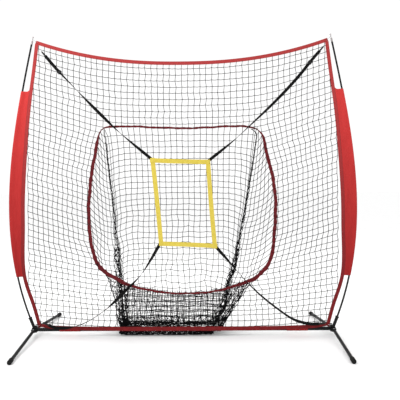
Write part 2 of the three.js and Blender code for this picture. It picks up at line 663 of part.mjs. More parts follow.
// A loop round the bar, with a tab that is sewn to the back of the bottom webbing
function barSleeve(side) {
  const inner = BAR_RADIUS + GAP;
  const outer = inner + BAR_SLEEVE.thickness;
  const { from, to, thickness, tabTop, tabFront } = BAR_SLEEVE;
  const loop = rod([side * from, 0, BAR_HEIGHT], [side * to, 0, BAR_HEIGHT], outer);
  const tabMiddle = [(side * (from + to)) / 2, tabFront + thickness / 2, (BAR_HEIGHT + tabTop) / 2];
  const tab = blockAt(tabMiddle, [to - from, thickness, tabTop - BAR_HEIGHT]);
  const past = [from - outer, to + outer].map((x) => [side * x, 0, BAR_HEIGHT]);
  return cut(joined(loop, tab), rod(past[0], past[1], inner));
}

for (const [sideName, side] of Object.entries(SIDES)) {
  add(`pole_sleeve_${sideName}`, poleSleeve(side, BOWS[sideName]), RED_FABRIC);
  add(`bar_sleeve_${sideName}`, barSleeve(side), RED_FABRIC);
}

// ---- Front net, pocket mouth and pocket bag ----

function mouthLoop() {
  const points = MOUTH_POINTS.map(([x, z]) => new THREE.Vector3(x, z, 0));
  const curve = new THREE.CatmullRomCurve3(points, true, 'centripetal');
  return curve.getPoints(MOUTH_DIVISIONS).slice(0, -1).map((point) => [point.x, point.y]);
}

const MOUTH = mouthLoop();

function frontNet() {
  const edge = WEBBING.width + GAP;
  const foot = (x) => bottomWebbingHeight(x, 1) + NET_CLEARANCE;
  const cornerX = FOOT_CORNER.x - GAP;
  const topX = CORNER_X - 2 * GAP;
  const heights = edgeHeights(foot(cornerX), topEdge(topX) - edge);
  const right = heights.map((z) => [sideEdge(z) - GAP, z]);
  const top = spread(topX, -topX, TOP_STEPS).slice(1, -1).map((x) => [x, topEdge(x) - edge]);
  const left = heights.map((z) => [GAP - sideEdge(z), z]).reverse();
  const bottom = spread(-cornerX, cornerX, WEBBING_STEPS).slice(1, -1).map((x) => [x, foot(x)]);
  const shape = outline([...right, ...top, ...left, ...bottom]);
  const hole = offsetLoop(MOUTH, MOUTH_BINDING.width / 2 + GAP);
  shape.holes.push(outline(hole));
  return sheet(shape, NET_THICKNESS);
}

function mouthBinding() {
  const shape = outline(offsetLoop(MOUTH, MOUTH_BINDING.width / 2));
  shape.holes.push(outline(offsetLoop(MOUTH, -MOUTH_BINDING.width / 2)));
  return sheet(shape, MOUTH_BINDING.thickness);
}

// The bag's outer shape, drawn in by an inset on every face
function bagBlock(inset) {
  const face = solid(sheet(outline(offsetLoop(BAG_FRONT, -inset)), BAG_DEPTH));
  const planLoop = [...BAG_TOP_VIEW.map(([x, y]) => [-x, y]).reverse(), ...BAG_TOP_VIEW];
  const planView = outline(offsetLoop(planLoop, -inset));
  const plan = solid(new THREE.ExtrudeGeometry(planView, { depth: BAG_DEPTH, bevelEnabled: false }));
  const profile = solid(prismAlongX(outline(offsetLoop(BAG_SIDE, -inset)), BAG_DEPTH));
  return face.intersect(plan).intersect(profile);
}

function pocketBag() {
  const mouth = offsetLoop(MOUTH, -MOUTH_BINDING.width / 2);
  return cut(bagBlock(0).subtract(bagBlock(BAG_WALL)), sheet(outline(mouth), MOUTH_CUT));
}

add('front_net', frontNet(), NET_CORD);
add('mouth_binding', mouthBinding(), MAROON_BINDING);
add('pocket_net', pocketBag(), NET_CORD);

// ---- Strike zone, straps, sliders and hooks ----

function zoneFrame() {
  const shape = outline(ZONE_CORNERS);
  shape.holes.push(outline(offsetLoop(ZONE_CORNERS, -ZONE_STRIP.width)));
  return sheet(shape, ZONE_STRIP.thickness, ZONE_Y);
}

function rectangle(thickness, width) {
  const [x, y] = [thickness / 2, width / 2];
  return outline([[-x, -y], [x, -y], [x, y], [-x, y]]);
}

function strapCurve(route) {
  return new THREE.CatmullRomCurve3(route.map((point) => new THREE.Vector3(...point)), false, 'centripetal');
}

function strap(curve) {
  const shape = rectangle(STRAP.thickness, STRAP.width);
  return new THREE.ExtrudeGeometry(shape, { extrudePath: curve, steps: STRAP_STEPS, bevelEnabled: false });
}

function slider(curve, place) {
  const shape = rectangle(SLIDER.thickness, SLIDER.width);
  shape.holes.push(rectangle(SLIDER.slotThickness, SLIDER.slotWidth));
  const half = SLIDER.length / 2 / curve.getLength();
  const extrudePath = new THREE.LineCurve3(curve.getPointAt(place - half), curve.getPointAt(place + half));
  return new THREE.ExtrudeGeometry(shape, { extrudePath, steps: 1, bevelEnabled: false });
}

// A round eye for the strap and an open hook that reaches back to the net, made along +X
function netHook() {
  const eye = new THREE.TorusGeometry(HOOK.eyeRadius, HOOK.wire, 6, 16);
  const path = new THREE.CatmullRomCurve3([
    new THREE.Vector3(HOOK.eyeRadius, 0, 0),
    new THREE.Vector3(HOOK.shank, 0, 0),
    new THREE.Vector3(HOOK.reach, 0, -HOOK.bend / 2),
    new THREE.Vector3(HOOK.shank + HOOK.mouth, 0, -HOOK.bend),
    new THREE.Vector3(HOOK.shank - HOOK.point, 0, -HOOK.bend),
  ]);
  const settings = { extrudePath: path, steps: 10, curveSegments: 3, bevelEnabled: false };
  const arm = new THREE.ExtrudeGeometry(circle(HOOK.wire), settings);
  return geometryOf(joined(eye, arm));
}

add('strike_zone', zoneFrame(), YELLOW_WEBBING);
for (const [cornerName, route] of Object.entries(STRAP_ROUTES)) {
  const curve = strapCurve(route);
  add(`strap_${cornerName}`, strap(curve), BLACK_WEBBING);
  if (cornerName in SLIDER_PLACE) {
    add(`strap_slider_${cornerName}`, slider(curve, SLIDER_PLACE[cornerName]), BLACK_PLASTIC);
  }
  const outward = curve.getTangentAt(1).setY(0).normalize();
  const clear = HOOK.eyeRadius + HOOK.wire + 2 * GAP;
  const hook = add(`net_hook_${cornerName}`, netHook(), BLACK_PLASTIC);
  hook.position.copy(curve.getPointAt(1)).addScaledVector(outward, clear);
  const across = new THREE.Vector3().crossVectors(new THREE.Vector3(0, -1, 0), outward);
  hook.quaternion.setFromRotationMatrix(
    new THREE.Matrix4().makeBasis(outward, across, new THREE.Vector3(0, -1, 0)),
  );
}

export default net;
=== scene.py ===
# A free-standing pitching target net: knotted cord netting with a ball pocket, red webbing and satin sleeves,
# two bowed poles and a folding steel base. Metres, +Z up, X across the net, -Y towards the pitcher.

import math

import bpy
import numpy as np
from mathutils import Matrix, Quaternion, Vector, noise


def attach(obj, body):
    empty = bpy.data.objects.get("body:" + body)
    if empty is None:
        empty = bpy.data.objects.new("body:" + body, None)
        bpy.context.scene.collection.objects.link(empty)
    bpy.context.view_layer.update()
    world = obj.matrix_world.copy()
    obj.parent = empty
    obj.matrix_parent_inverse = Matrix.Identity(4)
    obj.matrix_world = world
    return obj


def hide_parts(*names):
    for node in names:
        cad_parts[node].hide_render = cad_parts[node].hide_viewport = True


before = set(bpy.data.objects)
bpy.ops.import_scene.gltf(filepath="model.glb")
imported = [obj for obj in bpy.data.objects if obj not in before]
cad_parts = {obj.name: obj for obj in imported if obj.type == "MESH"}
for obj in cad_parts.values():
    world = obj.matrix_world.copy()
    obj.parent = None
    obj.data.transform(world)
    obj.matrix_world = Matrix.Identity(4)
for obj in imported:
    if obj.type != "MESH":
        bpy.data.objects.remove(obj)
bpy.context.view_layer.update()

# The shake of the netting is the same at each run
SHAKE_SEED = 11
noise.seed_set(SHAKE_SEED)
SIDES = {"left": -1, "right": 1}
ENDS = {"front": -1, "rear": 1}
ALONG_X = Vector((1, 0, 0))
BACKWARD = Vector((0, 1, 0))
UP = Vector((0, 0, 1))

# ---- Camera ----

CAMERA_TARGET = Vector((0.065, 0, 1.085))
CAMERA_DISTANCE = 3.3
CAMERA_YAW = math.radians(0.55)
CAMERA_ROLL = math.radians(0.40)
SENSOR = 36.0
FOCAL_LENGTH = 41.4
CAMERA_SHIFT = (0.0216, -0.0384)


def make_camera():
    data = bpy.data.cameras.new("camera")
    data.sensor_width = SENSOR
    data.lens = FOCAL_LENGTH
    data.shift_x, data.shift_y = CAMERA_SHIFT
    camera = bpy.data.objects.new("camera", data)
    away = Vector((math.sin(CAMERA_YAW), -math.cos(CAMERA_YAW), 0))
    camera.location = CAMERA_TARGET + away * CAMERA_DISTANCE
    camera.rotation_euler = (math.pi / 2, CAMERA_ROLL, CAMERA_YAW)
    bpy.context.scene.collection.objects.link(camera)
    bpy.context.scene.camera = camera


make_camera()

# ---- Materials ----


class Finish:
    """A principled material whose colour, roughness and bump come from textures in object space."""

    def __init__(self, name, roughness, metallic=0.0, **settings):
        self.material = bpy.data.materials.new(name)
        self.material.use_nodes = True
        self.nodes = self.material.node_tree.nodes
        self.links = self.material.node_tree.links
        self.shader = self.nodes["Principled BSDF"]
        self.place = self.nodes.new("ShaderNodeTexCoord").outputs["Object"]
        self.shader.inputs["Roughness"].default_value = roughness
        self.shader.inputs["Metallic"].default_value = metallic
        for socket, value in settings.items():
            self.shader.inputs[socket.replace("_", " ")].default_value = value

    def stretched(self, scale):
        mapping = self.nodes.new("ShaderNodeMapping")
        mapping.inputs["Scale"].default_value = scale
        self.links.new(self.place, mapping.inputs["Vector"])
        return mapping.outputs["Vector"]

    def noise(self, scale, detail=3.0, stretch=(1, 1, 1)):
        texture = self.nodes.new("ShaderNodeTexNoise")
        texture.inputs["Scale"].default_value = scale
        texture.inputs["Detail"].default_value = detail
        self.links.new(self.stretched(stretch), texture.inputs["Vector"])
        return texture.outputs["Fac"]

    def ribs(self, pitch, direction, distortion=0.0):
        """Parallel ribs a pitch apart along X, Y, Z or DIAGONAL."""
        texture = self.nodes.new("ShaderNodeTexWave")
        texture.bands_direction = direction
        texture.inputs["Scale"].default_value = 0.314 / pitch
        texture.inputs["Distortion"].default_value = distortion
        self.links.new(self.place, texture.inputs["Vector"])
        return texture.outputs["Fac"]

    def height(self, low, high):
        """How far up the part a point is, from 0 at the low height to 1 at the high one."""
        split = self.nodes.new("ShaderNodeSeparateXYZ")
        spread = self.nodes.new("ShaderNodeMapRange")
        spread.inputs["From Min"].default_value = low
        spread.inputs["From Max"].default_value = high
        self.links.new(self.place, split.inputs["Vector"])
        self.links.new(split.outputs["Z"], spread.inputs["Value"])
        return spread.outputs["Result"]

    def mixed(self, first, second, share=0.5):
        mix = self.nodes.new("ShaderNodeMix")
        mix.inputs["Factor"].default_value = share
        self.links.new(first, mix.inputs["A"])
        self.links.new(second, mix.inputs["B"])
        return mix.outputs["Result"]

    def product(self, first, second):
        multiply = self.nodes.new("ShaderNodeMath")
        multiply.operation = "MULTIPLY"
        self.links.new(first, multiply.inputs[0])
        self.links.new(second, multiply.inputs[1])
        return multiply.outputs[0]

    def coloured(self, socket, low, high, start=0.3, end=0.7):
        ramp = self.nodes.new("ShaderNodeValToRGB")
        ramp.color_ramp.elements[0].position = start
        ramp.color_ramp.elements[1].position = end
        ramp.color_ramp.elements[0].color = (*low, 1)
        ramp.color_ramp.elements[1].color = (*high, 1)
        self.links.new(socket, ramp.inputs["Fac"])
        self.links.new(ramp.outputs["Color"], self.shader.inputs["Base Color"])
        return self

    def rough(self, socket, low, high):
        spread = self.nodes.new("ShaderNodeMapRange")
        spread.inputs["To Min"].default_value = low
        spread.inputs["To Max"].default_value = high
        self.links.new(socket, spread.inputs["Value"])
        self.links.new(spread.outputs["Result"], self.shader.inputs["Roughness"])
        return self

    def bumped(self, socket, strength, distance):
        bump = self.nodes.new("ShaderNodeBump")
        bump.inputs["Strength"].default_value = strength
        bump.inputs["Distance"].default_value = distance
        self.links.new(socket, bump.inputs["Height"])
        self.links.new(bump.outputs["Normal"], self.shader.inputs["Normal"])
        return self


# The heights between which the red cloth's colour is painted lighter towards the top, as painted light from
# above
PAINTED_LIGHT_HEIGHTS = (0.25, 1.75)


def powder_coat():
    made = Finish("powder_coat", 0.42, Specular_IOR_Level=0.14)
    made.coloured(made.noise(35), (0.005, 0.005, 0.0054), (0.011, 0.011, 0.0116))
    made.rough(made.noise(60), 0.34, 0.52)
    return made.bumped(made.noise(900, 2), 0.35, 0.0004)


def rubber():
    made = Finish("rubber", 0.8, Specular_IOR_Level=0.14)
    made.coloured(made.noise(80), (0.006, 0.006, 0.006), (0.014, 0.014, 0.0135))
    return made.bumped(made.noise(1500, 4), 0.5, 0.0003)


def steel():
    made = Finish("steel", 0.35, metallic=1.0)
    made.coloured(made.noise(400, 2), (0.42, 0.43, 0.44), (0.62, 0.63, 0.64))
    made.rough(made.noise(200), 0.25, 0.45)
    return made.bumped(made.noise(1200, 2), 0.2, 0.0002)


def fibreglass():
    made = Finish("fibreglass", 0.45, Specular_IOR_Level=0.14)
    fibres = made.noise(60, 4, (25, 25, 1))
    made.coloured(fibres, (0.005, 0.0052, 0.0056), (0.014, 0.0145, 0.015))
    return made.bumped(fibres, 0.25, 0.0002)


def pale_plastic():
    made = Finish("pale_plastic", 0.3, Transmission_Weight=0.35, IOR=1.49)
    made.coloured(made.noise(120), (0.46, 0.42, 0.42), (0.62, 0.58, 0.58))
    return made.bumped(made.noise(700), 0.15, 0.0003)


def net_cord(name="net_cord", low=(0.0015, 0.0015, 0.0018), high=(0.007, 0.007, 0.008)):
    made = Finish(name, 0.9, Specular_IOR_Level=0.12)
    made.coloured(made.noise(600, 2), low, high)
    return made.bumped(made.ribs(0.0021, "DIAGONAL", 1.5), 0.7, 0.0005)


def webbing(name, low, high, edge_pitch=0.0016, roughness=0.8, sheen=0.05, painted_top_light=False):
    """Tape woven in fine ribs, with a slow mottle in its dyed colour; when asked, its colour is painted paler
    where it's high up, as painted light from above.
    """
    made = Finish(name, roughness, Sheen_Weight=sheen, Sheen_Roughness=0.5, Specular_IOR_Level=0.15)
    weave = made.product(made.ribs(edge_pitch, "X", 0.6), made.ribs(edge_pitch, "Z", 0.6))
    dye_and_painted_light = made.mixed(made.noise(45, 4), weave, 0.45)
    # Painted light: mixing in the height makes the tape's colour lighter higher up, as if lit from above.
    if painted_top_light:
        dye_and_painted_light = made.mixed(dye_and_painted_light, made.height(*PAINTED_LIGHT_HEIGHTS), 0.6)
    made.coloured(dye_and_painted_light, low, high, 0.2, 0.75)
    return made.bumped(weave, 0.7, 0.0006)


def satin():
    """Woven polyester with a soft gloss, creased along the pole; its colour has painted shade and light,
    darker and lighter along the crease noise and paler towards the top.
    """
    made = Finish("satin", 0.5, Sheen_Weight=0.02, Sheen_Roughness=0.4, Specular_IOR_Level=0.16)
    # Painted shade and light: the colour goes darker and lighter along the crease noise and is lighter higher
    # up; the crease noise also bumps the cloth.
    creases_and_crease_shade = made.noise(14, 5, (3, 3, 0.6))
    dye_and_painted_light = made.mixed(creases_and_crease_shade, made.height(*PAINTED_LIGHT_HEIGHTS), 0.7)
    made.coloured(dye_and_painted_light, (0.24, 0.0035, 0.0045), (0.56, 0.034, 0.032), 0.1, 0.85)
    made.rough(made.noise(30), 0.4, 0.56)
    twill = made.ribs(0.0009, "DIAGONAL", 0.4)
    return made.bumped(made.mixed(creases_and_crease_shade, twill, 0.3), 0.45, 0.002)


def moulded_plastic():
    made = Finish("moulded_plastic", 0.55, Specular_IOR_Level=0.25)
    made.coloured(made.noise(90), (0.003, 0.003, 0.0032), (0.01, 0.01, 0.0105))
    return made.bumped(made.noise(1100, 2), 0.3, 0.0003)


MATERIALS = {
    "powder_coat": powder_coat(),
    "rubber": rubber(),
    "steel": steel(),
    "fibreglass": fibreglass(),
    "clear_plastic": pale_plastic(),
    "net_cord": net_cord(),
    # Painted light: the red webbing's colour is lighter higher up.
    "red_webbing": webbing("red_webbing", (0.17, 0.010, 0.012), (0.40, 0.042, 0.042), painted_top_light=True),
    "red_fabric": satin(),
    "maroon_binding": webbing("maroon_binding", (0.05, 0.005, 0.007), (0.24, 0.016, 0.022)),
    "yellow_webbing": webbing("yellow_webbing", (0.58, 0.45, 0.055), (0.76, 0.62, 0.12), 0.0022),
    "black_webbing": webbing("black_webbing", (0.0015,) * 3, (0.008,) * 3, 0.0018, 0.9, 0.0),
    "black_plastic": moulded_plastic(),
}
# The bottom webbing is in the shade and looks darker than the rest
LOWER_WEBBING = webbing("lower_webbing", (0.11, 0.006, 0.008), (0.29, 0.018, 0.020))
THREADS = {
    "red": net_cord("red_thread", (0.22, 0.018, 0.02), (0.40, 0.036, 0.036)),
    "yellow": net_cord("yellow_thread", (0.55, 0.38, 0.02), (0.8, 0.6, 0.06)),
    "black": net_cord("black_thread", (0.006, 0.006, 0.006), (0.02, 0.02, 0.02)),
}

# ---- Making pieces ----


def placed(name, data, slot, nodes=(), body="frame", finish=None):
    """Links a mesh or curve as a piece, gives it its material, and lets it stand for CAD nodes."""
    piece = bpy.data.objects.new(name, data)
    bpy.context.scene.collection.objects.link(piece)
    data.materials.append((finish or MATERIALS[slot]).material)
    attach(piece, body)
    if nodes:
        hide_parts(*nodes)
    return piece


def mesh_of(name, points, faces, smooth=True):
    mesh = bpy.data.meshes.new(name)
    mesh.from_pydata([tuple(point) for point in points], [], [tuple(face) for face in faces])
    mesh.validate()
    mesh.update()
    mesh.polygons.foreach_set("use_smooth", [smooth] * len(mesh.polygons))
    return mesh


def loft(rings, closed=False, capped=True):
    """The points and faces of a skin over equal rings of points: closed on itself, capped, or open."""
    count = len(rings[0])
    points = [point for ring in rings for point in ring]
    faces = []
    for i in range(len(rings) if closed else len(rings) - 1):
        a, b = i * count, (i + 1) % len(rings) * count
        for j in range(count):
            k = (j + 1) % count
            faces.append((a + j, a + k, b + k, b + j))
    if capped and not closed:
        faces.append(tuple(range(count))[::-1])
        faces.append(tuple(range(len(points) - count, len(points))))
    return points, faces


def cords_of(name, lines, radius, resolution=1, closed=False):
    """A curve with one spline for each line of (point, thickness) pairs."""
    curve = bpy.data.curves.new(name, "CURVE")
    curve.dimensions = "3D"
    curve.bevel_depth = radius
    curve.bevel_resolution = resolution
    curve.use_fill_caps = True
    for line in lines:
        spline = curve.splines.new("POLY")
        spline.points.add(len(line) - 1)
        spline.use_cyclic_u = closed
        spline.points.foreach_set("co", [x for point, _ in line for x in (*point, 1.0)])
        spline.points.foreach_set("radius", [thickness for _, thickness in line])
        spline.use_smooth = True
    return curve


def even(points):
    return [(point, 1.0) for point in points]


def centripetal(points, steps=12, closed=False):
    """Points along a centripetal Catmull-Rom curve through the given ones."""
    given = [Vector(point) for point in points]
    if closed:
        given = [given[-1], *given, given[0], given[1]]
    else:
        given = [2 * given[0] - given[1], *given, 2 * given[-1] - given[-2]]
    made = []
    for a, b, c, d in zip(given, given[1:], given[2:], given[3:]):
        knots = [0.0]
        for before, after in ((a, b), (b, c), (c, d)):
            knots.append(knots[-1] + math.sqrt((after - before).length))
        for step in range(steps):
            t = knots[1] + (knots[2] - knots[1]) * step / steps
            level = [a, b, c, d]
            for span in (1, 2, 3):
                level = [
                    level[i].lerp(level[i + 1], (t - start) / (end - start))
                    for i, (start, end) in enumerate(catmull_spans(knots, span))
                ]
            made.append(level[0])
    if not closed:
        made.append(given[-2])
    return made


def catmull_spans(knots, span):
    """The knot intervals that each level of the Catmull-Rom pyramid blends over."""
    return {
        1: [(knots[0], knots[1]), (knots[1], knots[2]), (knots[2], knots[3])],
        2: [(knots[0], knots[2]), (knots[1], knots[3])],
        3: [(knots[1], knots[2])],
    }[span]


def length_of(points):
    return sum((b - a).length for a, b in zip(points, points[1:]))


def evenly(points, spacing):
    """The same line in equal steps of about the given spacing."""
    line = np.array([tuple(point) for point in points])
    along = np.concatenate([[0], np.cumsum(np.linalg.norm(np.diff(line, axis=0), axis=1))])
    count = max(2, round(along[-1] / spacing) + 1)
    at = np.linspace(0, along[-1], count)
    return [Vector(row) for row in np.column_stack([np.interp(at, along, line[:, i]) for i in range(3)])]


def directions(points):
    ends = [points[0], *points, points[-1]]
    return [(after - before).normalized() for before, after in zip(ends, ends[2:])]


def smooth_step(value, start, end):
    t = min(1.0, max(0.0, (value - start) / (end - start)))
    return t * t * (3 - 2 * t)


def table(rows):
    """A function that runs straight between the rows' (at, value) pairs."""
    at, value = zip(*sorted(rows))
    return lambda x: float(np.interp(x, at, value))


# A tape's cross-section, as shares of half its width and half its thickness: one face, then the other
TAPE_FACE = [(-1, -0.4), (-0.985, -0.85), (-0.93, -1), (-0.5, -0.9), (0, -0.86)]
TAPE_FACE += [(-u, v) for u, v in TAPE_FACE[-2::-1]]
TAPE_SECTION = TAPE_FACE + [(-u, -v) for u, v in TAPE_FACE]


def tape(points, across, width, thickness):
    """A flat tape along points, with the direction across it at each point, and one width or one for each."""
    widths = width if isinstance(width, list) else [width] * len(points)
    rings = []
    for point, along, side, wide in zip(points, directions(points), across, widths):
        side = (side - along * side.dot(along)).normalized()
        face = along.cross(side)
        rings.append([point + side * (u * wide / 2) + face * (v * thickness / 2) for u, v in TAPE_SECTION])
    return loft(rings)


# ---- Straps between the strike zone and the net's corners: flat webbing that twists on its way ----

STRAP_WIDTH = 0.022
STRAP_THICKNESS = 0.002
STRAP_ROUTES = {
    "top_left": [
        (-0.233, -0.024, 1.282), (-0.447, -0.024, 1.463), (-0.620, -0.024, 1.632), (-0.778, -0.024, 1.796),
        (-0.896, -0.024, 1.922), (-0.973, -0.024, 2.013),
    ],
    "top_right": [
        (0.205, -0.024, 1.267), (0.370, -0.024, 1.398), (0.482, -0.024, 1.500), (0.672, -0.024, 1.679),
        (0.825, -0.024, 1.841), (0.937, -0.024, 1.977), (0.984, -0.024, 2.030),
    ],
    "bottom_left": [
        (-0.173, -0.024, 0.645), (-0.230, -0.026, 0.548), (-0.303, -0.030, 0.440), (-0.397, -0.032, 0.344),
        (-0.476, -0.034, 0.266), (-0.555, -0.036, 0.197), (-0.680, -0.038, 0.116), (-0.771, -0.038, 0.082),
        (-0.860, -0.038, 0.070), (-0.926, -0.036, 0.078), (-0.960, -0.033, 0.092),
    ],
    "bottom_right": [
        (0.251, -0.024, 0.625), (0.300, -0.026, 0.570), (0.358, -0.030, 0.502), (0.473, -0.032, 0.372),
        (0.570, -0.034, 0.281), (0.667, -0.036, 0.204), (0.775, -0.037, 0.130), (0.847, -0.037, 0.104),
        (0.910, -0.036, 0.092), (0.965, -0.034, 0.094),
    ],
}
# How far each strap has turned about its own line, in quarter turns, at shares of its length
STRAP_TURNS = {
    "top_left": [(0, 0), (0.257, 1), (0.45, 2), (0.67, 3), (0.83, 3.4), (0.865, 4), (1, 4)],
    "top_right": [(0, 0), (0.224, 1), (0.55, 1.67), (0.75, 2), (1, 2)],
    "bottom_left": [(0, 0), (0.218, 1), (0.425, 2), (0.56, 3), (0.79, 3), (0.89, 4), (1, 4)],
    "bottom_right": [(0, 0), (0.247, 1), (0.5, 1.28), (0.75, 1.33), (0.85, 1.55), (1, 1.6)],
}
STRAP_SPACING = 0.008
# The sewn end: distances along the strap from the zone's corner, and shares of the depth behind it
STRAP_END = [(0.004, 0.4), (0, 1), (-0.012, 1), (-0.022, 1)]
STRAP_END_DEPTH = 0.0032


def strap_line(corner):
    return evenly(centripetal(STRAP_ROUTES[corner], 24), STRAP_SPACING)


def strap_across(corner, line):
    turned = table(STRAP_TURNS[corner])
    across = []
    for i, along in enumerate(directions(line)):
        flat = along.cross(BACKWARD).normalized()
        angle = turned(i / (len(line) - 1)) * math.pi / 2
        across.append(Quaternion(along, angle) @ flat)
    return across


def strap(corner):
    line = strap_line(corner)
    mesh = mesh_of(corner, *tape(line, strap_across(corner, line), STRAP_WIDTH, STRAP_THICKNESS))
    piece = placed(f"webbing_strap_{corner}", mesh, "black_webbing", [f"strap_{corner}"])


def strap_end(corner, route):
    """The turned-over end of a strap, sewn behind the strike zone's corner."""
    start, after = Vector(route[0]), Vector(route[1])
    along = (after - start).normalized()
    behind = BACKWARD * STRAP_END_DEPTH
    line = [start + along * distance + behind * share for distance, share in STRAP_END]
    points, faces = tape(line, [along.cross(BACKWARD)] * len(line), STRAP_WIDTH, STRAP_THICKNESS)
    placed(f"strap_end_{corner}", mesh_of(f"strap_end_{corner}", points, faces), "black_webbing")


for corner in STRAP_ROUTES:
    strap(corner)
for corner, route in STRAP_ROUTES.items():
    strap_end(corner, route)

# ---- Net outline ----

SIDE_EDGE = [
    (1.020, 0.066), (1.060, 0.211), (1.131, 0.440), (1.137, 0.800), (1.134, 1.040), (1.094, 1.600),
    (1.050, 1.935), (1.026, 2.130),
]
WEBBING_WIDTH = 0.022
BORDER_WIDTH = 0.0255
WEBBING_THICKNESS = 0.004
TOP_MIDDLE = 1.968
TOP_CORNER = 2.128
TOP_POWER = 2.3
TOP_HALF = 1.048
FOOT_X = 1.020
FOOT_Z = 0.067
BAND_MIDDLE = 0.057
BAND_END = 0.078
BAND_WIDTHS = (0.030, 0.022)
BAND_Y = -0.0175
BAND_THICKNESS = 0.003
BAND_BEND = 0.930
MOUTH_POINTS = [
    (0, 0.305), (0.210, 0.318), (0.420, 0.372), (0.545, 0.432), (0.625, 0.540), (0.660, 0.760),
    (0.660, 1.060), (0.612, 1.280), (0.560, 1.460), (0.480, 1.496), (0, 1.490), (-0.455, 1.505),
    (-0.572, 1.488), (-0.625, 1.310), (-0.662, 1.080), (-0.673, 0.820), (-0.645, 0.605),
    (-0.587, 0.484), (-0.474, 0.412), (-0.400, 0.370), (-0.200, 0.323),
]
MOUTH_TOP = 1.500
# The height from which the mouth has upright sides
MOUTH_SIDE_FOOT = 0.43
MOUTH_CORNERS = {"left": Vector((-0.585, 0, 1.487)), "right": Vector((0.548, 0, 1.482))}

edge_line = centripetal([(x, 0, z) for x, z in SIDE_EDGE], 8)
side_edge = table([(point.z, point.x) for point in edge_line])
mouth_line = centripetal([(x, 0, z) for x, z in MOUTH_POINTS], 10, closed=True)
mouth_loop = np.array([(point.x, point.z) for point in mouth_line])
mouth_side = {
    name: table([(point.z, abs(point.x)) for point in mouth_line if side * point.x > 0.5])
    for name, side in SIDES.items()
}


def side_of(x):
    return "left" if x < 0 else "right"


def top_edge(x):
    return TOP_MIDDLE + (TOP_CORNER - TOP_MIDDLE) * min(1, abs(x) / TOP_HALF) ** TOP_POWER


def band_share(x):
    return (abs(x) / FOOT_X) ** 4


def band_width(x):
    middle, end = BAND_WIDTHS
    return middle + (end - middle) * band_share(x)


def band_height(x):
    return BAND_MIDDLE + (BAND_END - BAND_MIDDLE) * band_share(x)


def band_forward(x):
    return BAND_Y * (1 - smooth_step(abs(x), BAND_BEND, FOOT_X))


def in_mouth(x, z):
    (x0, z0), (x1, z1) = mouth_loop.T, np.roll(mouth_loop, -1, axis=0).T
    crosses = (z0 > z) != (z1 > z)
    rise = np.where(z1 == z0, 1, z1 - z0)
    return bool(np.count_nonzero(crosses & (x < x0 + (z - z0) / rise * (x1 - x0))) % 2)


def in_front_net(x, z):
    """Whether a place lies inside the webbing and outside the mouth."""
    if not FOOT_Z - 0.02 < z < TOP_CORNER or abs(x) > side_edge(z):
        return False
    if z > top_edge(x) - WEBBING_WIDTH or z < band_height(x) + band_width(x) / 2 - 0.002:
        return False
    return not in_mouth(x, z)


# ---- Netting ----

CORD_RADIUS = 0.0019
KNOT_SIZE = 1.5
KNOT_REACH = 0.0038
CELL_WIDTH = 0.0436
CELL_HEIGHT = 0.0428
SAG = 0.0022


def wobble(place, size, reach):
    """A smooth shake of up to about size, which varies over the reach."""
    return noise.noise_vector(Vector(place) / reach) * size


def threaded(line, sag):
    """A cord through knots: each knot thick, and each stretch between two knots hanging a little."""
    made = []
    for a, b in zip(line, line[1:]):
        span = (b - a).length
        if span < 2.5 * KNOT_REACH:
            made.append((a, 1.0))
            continue
        along = (b - a) / span
        middle = (a + b) / 2 - Vector((0, 0, sag * min(1, span / CELL_WIDTH)))
        made += [(a, KNOT_SIZE), (a + along * KNOT_REACH, 1.0), (middle, 1.0), (b - along * KNOT_REACH, 1.0)]
    made.append((line[-1], KNOT_SIZE))
    return made


def clipped(knots, inside):
    """The runs of a line of knots that lie inside, each run carried on to the edge."""

    def edge_between(good, bad):
        for _ in range(10):
            middle = (good + bad) / 2
            good, bad = (middle, bad) if inside(middle.x, middle.z) else (good, middle)
        return good + (bad - good).normalized() * CORD_RADIUS * 2

    runs, run = [], []
    for before, here in zip([None, *knots], knots):
        if inside(here.x, here.z):
            if not run and before is not None:
                run.append(edge_between(here, before))
            run.append(here)
        elif run:
            run.append(edge_between(run[-1], here))
            runs.append(run)
            run = []
    if run:
        runs.append(run)
    return [each for each in runs if len(each) > 1]


# Front net: rows follow the top border and fall towards the mouth, columns part round the mouth
FRONT_COLUMNS = range(-26, 27)
FRONT_ROWS = range(0, 54)
FIRST_ROW = 0.65
# The columns from this one outwards pass beside the mouth, spread apart by it and then squeezed together
MOUTH_COLUMN = 14
MOUTH_SPREAD = 0.1596
SPREAD_LOST = 0.006
SIDE_SQUEEZE = 0.0022
# The mouth's lower corners draw the columns beside them inwards
CORNER_PULL = 0.05
CORNER_PULL_REACH = 0.16
CORNER_PULL_TOP = 0.72
# How far the rows' knots sway from side to side, and how much more below the mouth
SWAY = 0.0025
STAGGER = 0.0017
LOOSE_STAGGER = 0.0022
fall_of_row = table([
    (0, 0.160), (12, 0.175), (30, 0.175), (36, 0.13), (41, 0.085), (45, 0.05), (49, 0.03), (54, 0.02),
])
# How much of its fall a row has left to make, by its distance from the middle: it hangs level and then climbs
fall_made = table([(0, 0), (0.3, 0.03), (0.45, 0.08), (0.55, 0.16), (0.65, 0.31), (1, 1), (1.2, 1.4)])
mouth_pull = table([(0.25, 0), (0.55, 0.55), (0.8, 1), (1.2, 1), (1.5, 0.1), (1.56, 0)])


def row_height(row, x):
    share = min(1.12, abs(x) / TOP_HALF)
    like_band = share ** TOP_POWER
    climb = like_band + (fall_made(share) - like_band) * smooth_step(row, 0, 9)
    level = TOP_CORNER - WEBBING_WIDTH - CELL_HEIGHT * (row - 1 + FIRST_ROW)
    return level - fall_of_row(row) * (1 - climb)


